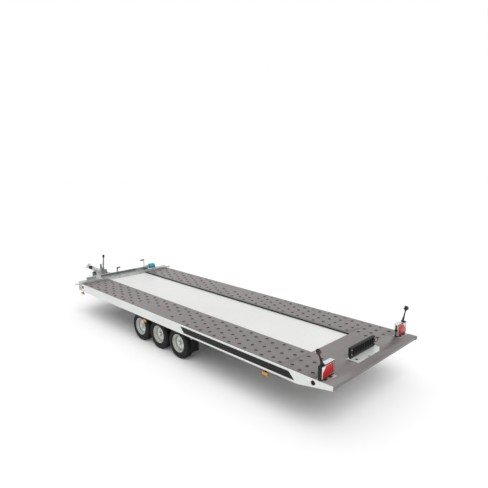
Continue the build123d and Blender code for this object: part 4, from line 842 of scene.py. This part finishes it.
finish_piece("front_beam_bolts", shape, "bed", zinc_plate, slot="galvanised")


# ---------------------------------------------------------------- strap winch
# The winch has a zinc-plated frame and ratchet. Teal polyester webbing is wound on the
# middle of its drum, and the grip of its lever has a ribbed black sleeve.

# Woven polyester is matt with a slight sheen, and its warp shows as fine lines. The threads
# are drawn 2.2 mm wide, twice as coarse as they are, so that they show.
thread_width = 0.0022
webbing, tree, shader = new_material("teal_polyester_webbing", "#10bccc", Roughness=0.8,
                                     Sheen_Weight=0.3)
place = add_node(tree, "ShaderNodeTexCoord").outputs["Object"]
warp = fine_ribs(tree, place, thread_width, direction="Y")
shade = mixed(tree, warp, linear("#058c9a"), linear("#18bac8"))
tree.links.new(shade, shader.inputs["Base Color"])
rough_and_bump(tree, shader, warp, relief=0.5, distance=0.0006)

low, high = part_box("winch_strap")
drum_middle = Vector(((low.x + high.x) / 2, 0, (low.z + high.z) / 2))
core_radius = 0.023
turns = 9
steps_a_turn = 24
growth = ((high.x - low.x) / 2 - core_radius) / turns
shape = bmesh.new()
# The webbing is wound narrower than the room between the drum's cheeks.
webbing_edges = (low.y + 0.012, high.y - 0.042)
start = [shape.verts.new((drum_middle.x, y, drum_middle.z + core_radius)) for y in webbing_edges]
edge = shape.edges.new(start)
for _ in range(turns * steps_a_turn):
    grown = bmesh.ops.extrude_edge_only(shape, edges=[edge])
    ends = [v for v in grown["geom"] if isinstance(v, bmesh.types.BMVert)]
    edge = next(e for e in grown["geom"]
                if isinstance(e, bmesh.types.BMEdge) and all(v in ends for v in e.verts))
    bmesh.ops.rotate(shape, verts=ends, cent=drum_middle,
                     matrix=Matrix.Rotation(tau / steps_a_turn, 3, "Y"))
    out = (ends[0].co - drum_middle) * Vector((1, 0, 1))
    bmesh.ops.translate(shape, verts=ends, vec=out.normalized() * growth / steps_a_turn)
roll = finish_piece("webbing_roll", shape, "winch_drum", webbing, slot="strap_teal", sharp_angle=60)
give_wall(roll, growth * 0.7)
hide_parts("winch_strap")

frame_low, frame_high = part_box("winch_frame")
shape = bmesh.new()
ratchet_teeth = 18
ratchet_radius = 0.030
tooth_height = 0.006
ratchet_y = frame_high.y + 0.022
made = bmesh.ops.create_cone(shape, cap_ends=True, segments=ratchet_teeth * 2, radius1=ratchet_radius,
                             radius2=ratchet_radius, depth=0.008,
                             matrix=Matrix.Translation((drum_middle.x, ratchet_y, drum_middle.z))
                             @ Matrix.Rotation(pi / 2, 4, "X"))
for tooth in range(ratchet_teeth):
    turn = tau * tooth / ratchet_teeth
    out = Vector((sin(turn), 0, cos(turn)))
    tip = [v for v in made["verts"]
           if ((v.co - Vector((drum_middle.x, v.co.y, drum_middle.z))).normalized() - out).length < 0.02]
    bmesh.ops.translate(shape, verts=tip, vec=out * tooth_height)
finish_piece("winch_ratchet_wheel", shape, "winch_drum", zinc_plate, slot="winch_steel", sharp_angle=20)
shape = bmesh.new()
for foot_y in (frame_low.y + 0.03, frame_high.y - 0.03):
    for foot_x in (frame_low.x + 0.012, frame_high.x - 0.012):
        add_bolt(shape, (foot_x, foot_y, frame_low.z + 0.005), (0, 0, 1), across=0.013, height=0.007)
finish_piece("winch_foot_bolts", shape, "bed", zinc_plate, slot="galvanised")


def ribbed_sleeve(length, radius, ribs, depth=0.0012):
    """Outline of a moulded grip with rings round it, closed at its end."""
    outline = [(0, radius - 0.002), (0.002, radius)]
    for rib in range(ribs):
        middle = length * (rib + 1) / (ribs + 1)
        outline += [(middle - 0.002, radius), (middle, radius - depth), (middle + 0.002, radius)]
    return outline + [(length - 0.004, radius), (length, radius - 0.004), (length, 0)]


# Dipped PVC is a dull, waxy black, with soft highlights along its rings.
grip_pvc = drifting_coat("black_grip_pvc", "#151616", patch=0.008, shades=("#161717", "#232424"),
                         relief=0.2, rough=(0.5, 0.7), Roughness=0.65, Specular_IOR_Level=0.3)
lever_low, lever_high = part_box("winch_lever")
shape = bmesh.new()
turned(shape, ribbed_sleeve(lever_high.y - lever_low.y - 0.006, radius=0.0150, ribs=6),
       (drum_middle.x, lever_low.y + 0.008, lever_high.z - 0.013), (0, 1, 0), segments=20)
finish_piece("winch_lever_grip", shape, "winch_lever", grip_pvc, slot="black_plastic")


# ---------------------------------------------------------------- tyres
# Radial trailer tyres are moulded from black rubber. Four grooves divide the tread into
# ribs, cross cuts divide the ribs into blocks, and the walls carry fine moulded rings.

# Tyre rubber is dry and nearly black, a little greyer where dust clings. Its fine pitting
# is drawn 3 mm coarse, so that it shows.
tyre_rubber = drifting_coat("moulded_tyre_rubber", "#171718", patch=0.06, shades=("#131314", "#1f1f20"),
                            relief=0.2, rough=(0.62, 0.85), grain=0.003, Roughness=0.8,
                            Specular_IOR_Level=0.3)

tyre_low, tyre_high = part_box("tyre_front_left")
tyre_radius = (tyre_high.z - tyre_low.z) / 2
block_height = 0.005
groove_depth = 0.003
groove_slope = 0.0012
cut_half_width = 0.0016
rib_edges = ((-0.052, -0.036), (-0.029, -0.0145), (-0.0075, 0.0075), (0.0145, 0.029), (0.036, 0.052))
tread_base = tyre_radius - block_height
wall_outline = [(-0.061, 0.1535), (-0.061, 0.1675), (-0.0694, 0.1675), (-0.0694, 0.157), (-0.0715, 0.157),
                (-0.0745, 0.170), (-0.0745, 0.181), (-0.0770, 0.199), (-0.0775, 0.213), (-0.0760, 0.215),
                (-0.0755, 0.228), (-0.0740, 0.230), (-0.0690, 0.2485), (-0.0620, 0.2560)]
inner_outline = [(-0.045, 0.240), (-0.055, 0.205), (-0.050, 0.1535)]


def mirrored(half):
    """The other half of a turned outline, from the middle plane outwards."""
    return [(-along, radius) for along, radius in reversed(half)]


outline = list(wall_outline)
for near, far in rib_edges:
    outline += [(near - groove_slope, tread_base - groove_depth), (near, tread_base), (far, tread_base),
                (far + groove_slope, tread_base - groove_depth)]
outline += mirrored(wall_outline) + mirrored(inner_outline) + inner_outline
tread_steps = 72
tyre_shape = bmesh.new()
turned(tyre_shape, outline, (0, 0, 0), (0, 1, 0), segments=tread_steps, closed=True)
bmesh.ops.recalc_face_normals(tyre_shape, faces=tyre_shape.faces)
tyre_shape.faces.ensure_lookup_table()
blocks = [face for face in tyre_shape.faces
          if all(abs((vert.co * Vector((1, 0, 1))).length - tread_base) < 1e-4 for vert in face.verts)]
bmesh.ops.inset_individual(tyre_shape, faces=blocks, thickness=cut_half_width, depth=block_height,
                           use_even_offset=True)
tyre_mesh = bpy.data.meshes.new("tyre_pattern")
tyre_shape.to_mesh(tyre_mesh)
tyre_shape.free()
wheels = [(f"{position}_{hand}", side) for position in ("front", "middle", "rear")
          for hand, side in hands]
for wheel, side in wheels:
    low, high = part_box(f"tyre_{wheel}")
    shape = bmesh.new()
    shape.from_mesh(tyre_mesh)
    bmesh.ops.translate(shape, verts=shape.verts, vec=(low + high) / 2)
    tyre = finish_piece(f"treaded_tyre_{wheel}", shape, f"wheel_{wheel}", tyre_rubber, slot="tyre_rubber",
                        sharp_angle=25)
    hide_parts(f"tyre_{wheel}")


# ---------------------------------------------------------------- rims, hubs and brakes
# Pressed steel rims have a silver lacquer, taken down to grey in their deep gutter and round the hub
# by brake dust and painted shade.
# Five bolts hold each to its hub, which ends in a grease cap, and a valve stands beside.

# Silver lacquer is full of fine flake: bright and smooth, but only slightly like metal.
lacquer = "#dadcd8"
lacquer_shades = ("#d2d5d0", "#e2e4e0")
lacquer_rough = (0.28, 0.42)
flake_patch = 0.04
rim_lacquer = drifting_coat("silver_wheel_lacquer", lacquer, patch=flake_patch, shades=lacquer_shades,
                            relief=0.08, rough=lacquer_rough, Metallic=0.35, Roughness=0.35)

# Brake dust and painted shade, for the shade in the gutter and round the hub, take the silver
# down to grey, by this share at each radius.
dust_and_shade_radii = ((0.030, 0.25), (0.060, 0.15), (0.070, 0.0), (0.098, 0.0), (0.112, 0.45), (0.134, 0.6),
              (0.146, 0.3), (0.152, 0.0))
dust_and_shade_grey = "#7d7c79"
dust_and_shade_lacquer = {}
for position in ("front", "middle", "rear"):
    low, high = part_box(f"tyre_{position}_left")
    middle = (low + high) / 2
    dust_and_shade_coat, tree, shader = new_material(f"dusty_wheel_lacquer_{position}", lacquer, Metallic=0.35,
                                       Roughness=0.35)
    place, cloud, shade = drift(tree, flake_patch, lacquer_shades)
    centred = add_node(tree, "ShaderNodeMapping", {"Vector": place, "Location": (-middle.x, 0, -middle.z),
                                                   "Scale": (1, 0, 1)})
    radius = add_node(tree, "ShaderNodeVectorMath", {0: centred.outputs["Vector"]}, operation="LENGTH")
    reach = add_node(tree, "ShaderNodeMath", {0: radius.outputs["Value"], 1: 1 / tyre_radius},
                     operation="MULTIPLY")
    dust = add_node(tree, "ShaderNodeValToRGB", {"Fac": reach.outputs[0]})
    while len(dust.color_ramp.elements) < len(dust_and_shade_radii):
        dust.color_ramp.elements.new(1)
    for stop, (stop_radius, amount) in zip(dust.color_ramp.elements, dust_and_shade_radii):
        stop.position = stop_radius / tyre_radius
        stop.color = (amount, amount, amount, 1)
    # The share mixes the lacquer towards grey: brake dust and painted shade in the rim's recesses.
    dust_and_shade_tint = mixed(tree, dust.outputs["Color"], shade, linear(dust_and_shade_grey))
    tree.links.new(dust_and_shade_tint, shader.inputs["Base Color"])
    rough_and_bump(tree, shader, cloud, relief=0.08, rough=lacquer_rough)
    dust_and_shade_lacquer[position] = dust_and_shade_coat
for wheel, side in wheels:
    finish_cad(dust_and_shade_lacquer[wheel.split("_")[0]], f"rim_{wheel}")
finish_cad(zinc_plate, "brake_backplates")
bolt_circle = 0.04816
bolt_count = 5
first_bolt = 0.3
hub_face = 0.018
valve_circle = 0.118
valve_turn = 1.963
cap_outline = ((0.0185, 0.0338), (0.026, 0.0338), (0.028, 0.0318), (0.046, 0.0310), (0.0535, 0.026),
               (0.0545, 0.012), (0.0545, 0))
valve_outline = ((0, 0), (0, 0.008), (0.004, 0.0075), (0.008, 0.0045), (0.026, 0.0040), (0.026, 0.0048),
                 (0.038, 0.0046), (0.039, 0))
for wheel, side in wheels:
    low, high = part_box(f"tyre_{wheel}")
    middle = (low + high) / 2
    out = Vector((0, side, 0))
    shape = bmesh.new()
    for bolt in range(bolt_count):
        turn = tau * bolt / bolt_count + first_bolt
        spoke = Vector((cos(turn), 0, sin(turn)))
        add_bolt(shape, middle + spoke * bolt_circle + out * hub_face, out, across=0.017, height=0.012)
    turned(shape, cap_outline, middle, out, segments=28)
    finish_piece(f"wheel_bolts_{wheel}", shape, f"wheel_{wheel}", zinc_plate, slot="winch_steel")
    shape = bmesh.new()
    valve_spoke = Vector((cos(valve_turn), 0, sin(valve_turn)))
    turned(shape, valve_outline, middle + valve_spoke * valve_circle + out * hub_face, out, segments=12)
    finish_piece(f"tyre_valve_{wheel}", shape, f"wheel_{wheel}", ring_rubber, slot="black_rubber")


# ---------------------------------------------------------------- mud flaps
# A soft rubber flap hangs behind each rear wheel from an arm of the chassis. A flat
# zinc-plated bar with three bolts clamps its upper edge.

# Pressed rubber is matt and a little dusty, with upright ribs 12 mm apart.
flap_rubber, tree, shader = new_material("pressed_flap_rubber", "#1c1c1c", Roughness=0.8,
                                         Specular_IOR_Level=0.25)
place, cloud, shade = drift(tree, patch=0.08, shades=("#181818", "#262625"))
rib_pitch = 0.012
ribs = fine_ribs(tree, place, rib_pitch, direction="Y")
tree.links.new(shade, shader.inputs["Base Color"])
rough_and_bump(tree, shader, ribs, relief=0.5, rough=(0.7, 0.85))
finish_cad(flap_rubber, "mud_flaps")
flap_low, flap_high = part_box("mud_flaps")
flap_width = 0.155
clamp_x = flap_low.x - 0.004
clamp_height = 0.034
shape = bmesh.new()
for side in (-1, 1):
    near, far = sorted((side * (flap_high.y - flap_width), side * flap_high.y))
    add_bar(shape, (clamp_x, near, flap_high.z - clamp_height), (flap_low.x, far, flap_high.z),
            rounded=0.001)
    for share in (0.15, 0.5, 0.85):
        add_bolt(shape, (clamp_x, near + share * flap_width, flap_high.z - clamp_height / 2), (-1, 0, 0),
                 across=0.013, height=0.007)
finish_piece("mud_flap_clamps", shape, "chassis", zinc_plate, slot="galvanised")


# ---------------------------------------------------------------- tilt cylinder
# One hydraulic cylinder lifts the bed. Its barrel has black gloss paint, with a nut
# round the gland at its top, and its rod is ground and hard-chromed steel.

# Gloss paint on a turned tube gives deep black with one long, sharp highlight.
hydraulic_paint = drifting_coat("black_hydraulic_paint", "#202122", patch=0.05,
                                shades=("#1b1c1d", "#2b2c2d"), relief=0.15, rough=(0.28, 0.45),
                                Roughness=0.35)
# Ground chrome is close to a mirror, with the faintest drift along the rod.
hard_chrome = drifting_coat("ground_hard_chrome", "#d9dbdc", patch=0.01, shades=("#d2d4d5", "#e2e4e5"),
                            relief=0.03, rough=(0.08, 0.18), Metallic=1.0, Roughness=0.12)
finish_cad(hydraulic_paint, "tilt_barrel", "hydraulic_pump")
finish_cad(hard_chrome, "tilt_rod")
barrel_low, barrel_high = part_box("tilt_barrel")
barrel_middle = Vector(((barrel_low.x + barrel_high.x) / 2, 0, barrel_high.z))
gland_outline = ((-0.034, 0.0325), (-0.032, 0.036), (-0.006, 0.036), (-0.004, 0.034), (0.000, 0.034),
                 (0.003, 0.026), (0.003, 0.0148), (-0.034, 0.0148))
shape = bmesh.new()
turned(shape, gland_outline, barrel_middle, (0, 0, 1), segments=32, closed=True)
finish_piece("cylinder_gland", shape, "tilt_barrel", zinc_plate, slot="winch_steel")
shape = bmesh.new()
barrel_radius = 0.030
port_outline = ((0, 0), (0, 0.013), (0.010, 0.013), (0.010, 0.010), (0.018, 0.010), (0.018, 0))
for port_z in (barrel_low.z + 0.075, barrel_high.z - 0.055):
    turned(shape, port_outline, (barrel_middle.x + barrel_radius, 0, port_z), (1, 0, 0), segments=16)
finish_piece("cylinder_ports", shape, "tilt_barrel", hydraulic_paint, slot="pump_black")


# ---------------------------------------------------------------- overrun coupling
# The ball coupling slides in its cast housing when the trailer overruns. Head and
# handle have light grey enamel, and rubber bellows keep the shaft clean between them.

# Thick enamel on a sand casting has a soft gloss over a skin that is slightly rough. The
# grain of the sand is drawn 4 mm coarse, so that it shows.
grey_enamel = drifting_coat("light_grey_cast_enamel", "#c3c5c3", patch=0.04, shades=("#b7b9b7", "#cfd1cf"),
                            relief=0.25, rough=(0.36, 0.52), grain=0.004, Roughness=0.42)
finish_cad(grey_enamel, "coupling_head", "coupling_handle")
finish_cad(ring_rubber, "overrun_bellows")

bellows_low, bellows_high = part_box("overrun_bellows")
shaft_middle = (bellows_low + bellows_high) / 2
shape = bmesh.new()
clamp_outline = ((0, 0.0375), (0, 0.0405), (0.008, 0.0405), (0.008, 0.0375))
for clamp_x in (bellows_low.x + 0.006, bellows_high.x - 0.012):
    turned(shape, clamp_outline, (clamp_x, shaft_middle.y, shaft_middle.z), (1, 0, 0), segments=28,
           closed=True)
finish_piece("bellows_clamps", shape, "chassis", zinc_plate, slot="winch_steel")

housing_low, housing_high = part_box("overrun_housing")
foot_top = housing_low.z + 0.010
foot_bolt_y = 0.062
head_bolt_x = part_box("coupling_head")[0].x + 0.022
head_bolt_y = 0.038
nipple_foot_z = shaft_middle.z + 0.040
nipple_outline = ((0, 0), (0, 0.006), (0.004, 0.006), (0.006, 0.003), (0.014, 0.003), (0.018, 0.004),
                  (0.020, 0))
shape = bmesh.new()
for behind in (0.52, 0.37, 0.22, 0.15):
    for side in (-1, 1):
        add_bolt(shape, (housing_high.x - behind, side * foot_bolt_y, foot_top), (0, 0, 1), across=0.022,
                 height=0.013)
for behind in (0.06, 0.42):
    turned(shape, nipple_outline, (housing_high.x - behind, 0, nipple_foot_z), (0, 0, 1), segments=10)
for side in (-1, 1):
    add_bolt(shape, (head_bolt_x, side * head_bolt_y, shaft_middle.z), (0, side, 0), across=0.019,
             height=0.011)
finish_piece("coupling_bolts", shape, "chassis", zinc_plate, slot="galvanised")

handle_low, handle_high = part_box("coupling_handle")
shape = bmesh.new()
cover_wall = 0.004
add_bar(shape, (handle_low.x - cover_wall, handle_low.y - cover_wall, handle_high.z - 0.016),
        (handle_low.x + 0.084, handle_high.y + cover_wall, handle_high.z + cover_wall), rounded=0.005)
cover_rib_pitch = 0.018
for rib in range(4):
    rib_x = handle_low.x + 0.006 + rib * cover_rib_pitch
    add_bar(shape, (rib_x, handle_low.y - 0.002, handle_high.z + 0.002),
            (rib_x + 0.008, handle_high.y + 0.002, handle_high.z + 0.0065), rounded=0.0015)
finish_piece("coupling_handle_cover", shape, "chassis", grey_enamel, slot="coupling_grey")


# ---------------------------------------------------------------- handbrake lever
# A flat forged lever, zinc-plated and gone dull, swings beside the toothed quadrant.
# A ball-ended black knob is pressed on its tip.

# Old plating has gone from bright to a dull grey, with a weak shine of metal.
dull_plate = drifting_coat("dull_passivated_steel", "#989b99", patch=0.03, shades=("#8c8f8d", "#a5a8a6"),
                           relief=0.15, rough=(0.42, 0.6), Metallic=0.45, Roughness=0.5)
finish_cad(dull_plate, "handbrake_lever", "jockey_crank", "jockey_fork", "winch_lever")
lever_low, lever_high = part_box("handbrake_lever")
lever_lean = radians(-8)
lever_along = Vector((sin(lever_lean), 0, cos(lever_lean)))
knob_half = 0.028
pivot_to_knob = 0.430
lever_pivot = Vector((3.260, (lever_low.y + lever_high.y) / 2, 0.588))
knob_middle = lever_pivot + lever_along * pivot_to_knob
shape = bmesh.new()
knob_neck = (-knob_half - 0.003, 0.017)
knob_sleeve = ribbed_sleeve(2 * knob_half + 0.003, radius=0.0262, ribs=4)
turned(shape, [knob_neck] + [(along - knob_half - 0.001, radius) for along, radius in knob_sleeve],
       knob_middle, lever_along, segments=24)
finish_piece("handbrake_knob", shape, "handbrake", grip_pvc, slot="black_plastic")


# ---------------------------------------------------------------- wheel chock
# A moulded black wheel chock is kept on the outer side of the left drawbar arm, held
# by a bent wire that snaps over it.

# The arm comes 328 mm closer to the middle over its length of 1590 mm.
arm_slope = -0.328 / 1.590
chock_middle = Vector((3.440, 0.168, 0.557))
chock_tilt = Matrix.Rotation(radians(22), 3, "Y")
chock_width = 0.068
first_rib_x = -0.070
rib_spacing = 0.034
rib_depth = 0.006
chock_outline = ((0.095, -0.040), (-0.095, -0.040), (-0.095, -0.014), (-0.044, 0.040), (-0.012, 0.040),
                 (0.050, 0.012), (0.095, -0.022))
shape = bmesh.new()
add_plate(shape, [(along, along * arm_slope, up) for along, up in chock_outline], (0, chock_width, 0),
          rounded=0.004)
for rib in range(4):
    rib_x = first_rib_x + rib * rib_spacing
    rib_y = chock_width + 0.001 + rib_x * arm_slope
    rib_top = 0.004 + 0.006 * rib
    add_bar(shape, (rib_x, rib_y, -0.034), (rib_x + rib_depth, rib_y + rib_depth, rib_top), rounded=0.001)
bmesh.ops.transform(shape, matrix=Matrix.Translation(chock_middle) @ chock_tilt.to_4x4(), verts=shape.verts)
finish_piece("wheel_chock", shape, "chassis", black_abs, slot="black_plastic")
holder_corners = ((3.700, 0.100, 0.534), (3.735, 0.150, 0.560), (3.590, 0.262, 0.478),
                  (3.330, 0.282, 0.580), (3.318, 0.200, 0.562), (3.330, 0.152, 0.534))
bent_wire("chock_holder", holder_corners, radius=0.004, bend=0.020, body="chassis", material=zinc_plate)


# ---------------------------------------------------------------- jockey wheel
# The jockey wheel has a solid rubber tyre on two pressed steel discs. Its tube and leg
# are zinc-plated, and the crank on top turns a spindle that raises the leg.
finish_cad(dull_plate, "jockey_tube")
finish_cad(zinc_plate, "jockey_leg")
low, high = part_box("jockey_wheel")
wheel_middle = (low + high) / 2
half_tyre = [(-0.0215, 0.066), (-0.0270, 0.070), (-0.0275, 0.084), (-0.0245, 0.097), (-0.0180, 0.1035),
             (-0.0110, 0.105), (-0.0090, 0.1035), (-0.0040, 0.1035), (-0.0020, 0.105)]
half_rim = [(-0.0270, 0.0085), (-0.0270, 0.0200), (-0.0240, 0.0240), (-0.0085, 0.0290), (-0.0080, 0.0560),
            (-0.0180, 0.0620), (-0.0235, 0.0650), (-0.0235, 0.0690), (-0.0200, 0.0690)]
shape = bmesh.new()
turned(shape, half_tyre + mirrored(half_tyre), wheel_middle, (0, 1, 0), segments=48, closed=True)
tyre = finish_piece("jockey_tyre", shape, "jockey_wheel", tyre_rubber, slot="jockey_rubber")
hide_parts("jockey_wheel")
shape = bmesh.new()
turned(shape, half_rim + mirrored(half_rim), wheel_middle, (0, 1, 0), segments=40, closed=True)
finish_piece("jockey_rim", shape, "jockey_wheel", rim_lacquer, slot="rim_silver")

crank_low, crank_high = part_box("jockey_crank")
grip_middle = Vector((crank_low.x + 0.013, crank_high.y - 0.013, crank_low.z + 0.026))
shape = bmesh.new()
turned(shape, ribbed_sleeve(crank_high.z - grip_middle.z + 0.002, radius=0.0185, ribs=6), grip_middle,
       (0, 0, 1), segments=20)
finish_piece("jockey_crank_grip", shape, "chassis", grip_pvc, slot="black_plastic")
clamp_bar_x = 3.205
clamp_bar_z = 0.505
clamp_corners = [(clamp_bar_x, clamp_y, clamp_bar_z) for clamp_y in (0.060, 0.112, 0.160)]
bent_wire("jockey_clamp_bar", clamp_corners, radius=0.006, bend=0.01, body="chassis", material=zinc_plate)


# ---------------------------------------------------------------- hand pump
# A small hydraulic hand pump stands on the shelf of the drawbar: a painted oil tank
# with a filler cap, the pump's barrel across it, and an upright lever with a grip.
pump_low, pump_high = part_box("hydraulic_pump")
pump_lever_x = pump_low.x + 0.037
shape = bmesh.new()
turned(shape, ribbed_sleeve(length=0.092, radius=0.0148, ribs=5),
       (pump_lever_x, 0.022, pump_high.z - 0.013), (0, -1, 0), segments=20)
finish_piece("pump_grip", shape, "chassis", grip_pvc, slot="black_plastic")
tank_top = pump_low.z + 0.092
pump_cap_y = 0.070
pump_cap_z = pump_low.z + 0.112
filler_outline = ((0, 0), (0, 0.016), (0.006, 0.016), (0.008, 0.014), (0.014, 0.014), (0.016, 0.012),
                  (0.016, 0))
shape = bmesh.new()
turned(shape, filler_outline, (pump_high.x - 0.030, 0.035, tank_top), (0, 0, 1), segments=20)
for side in (-1, 1):
    add_bolt(shape, (pump_lever_x, side * pump_cap_y, pump_cap_z), (0, side, 0), across=0.030, height=0.010)
finish_piece("pump_caps", shape, "chassis", zinc_plate, slot="winch_steel")
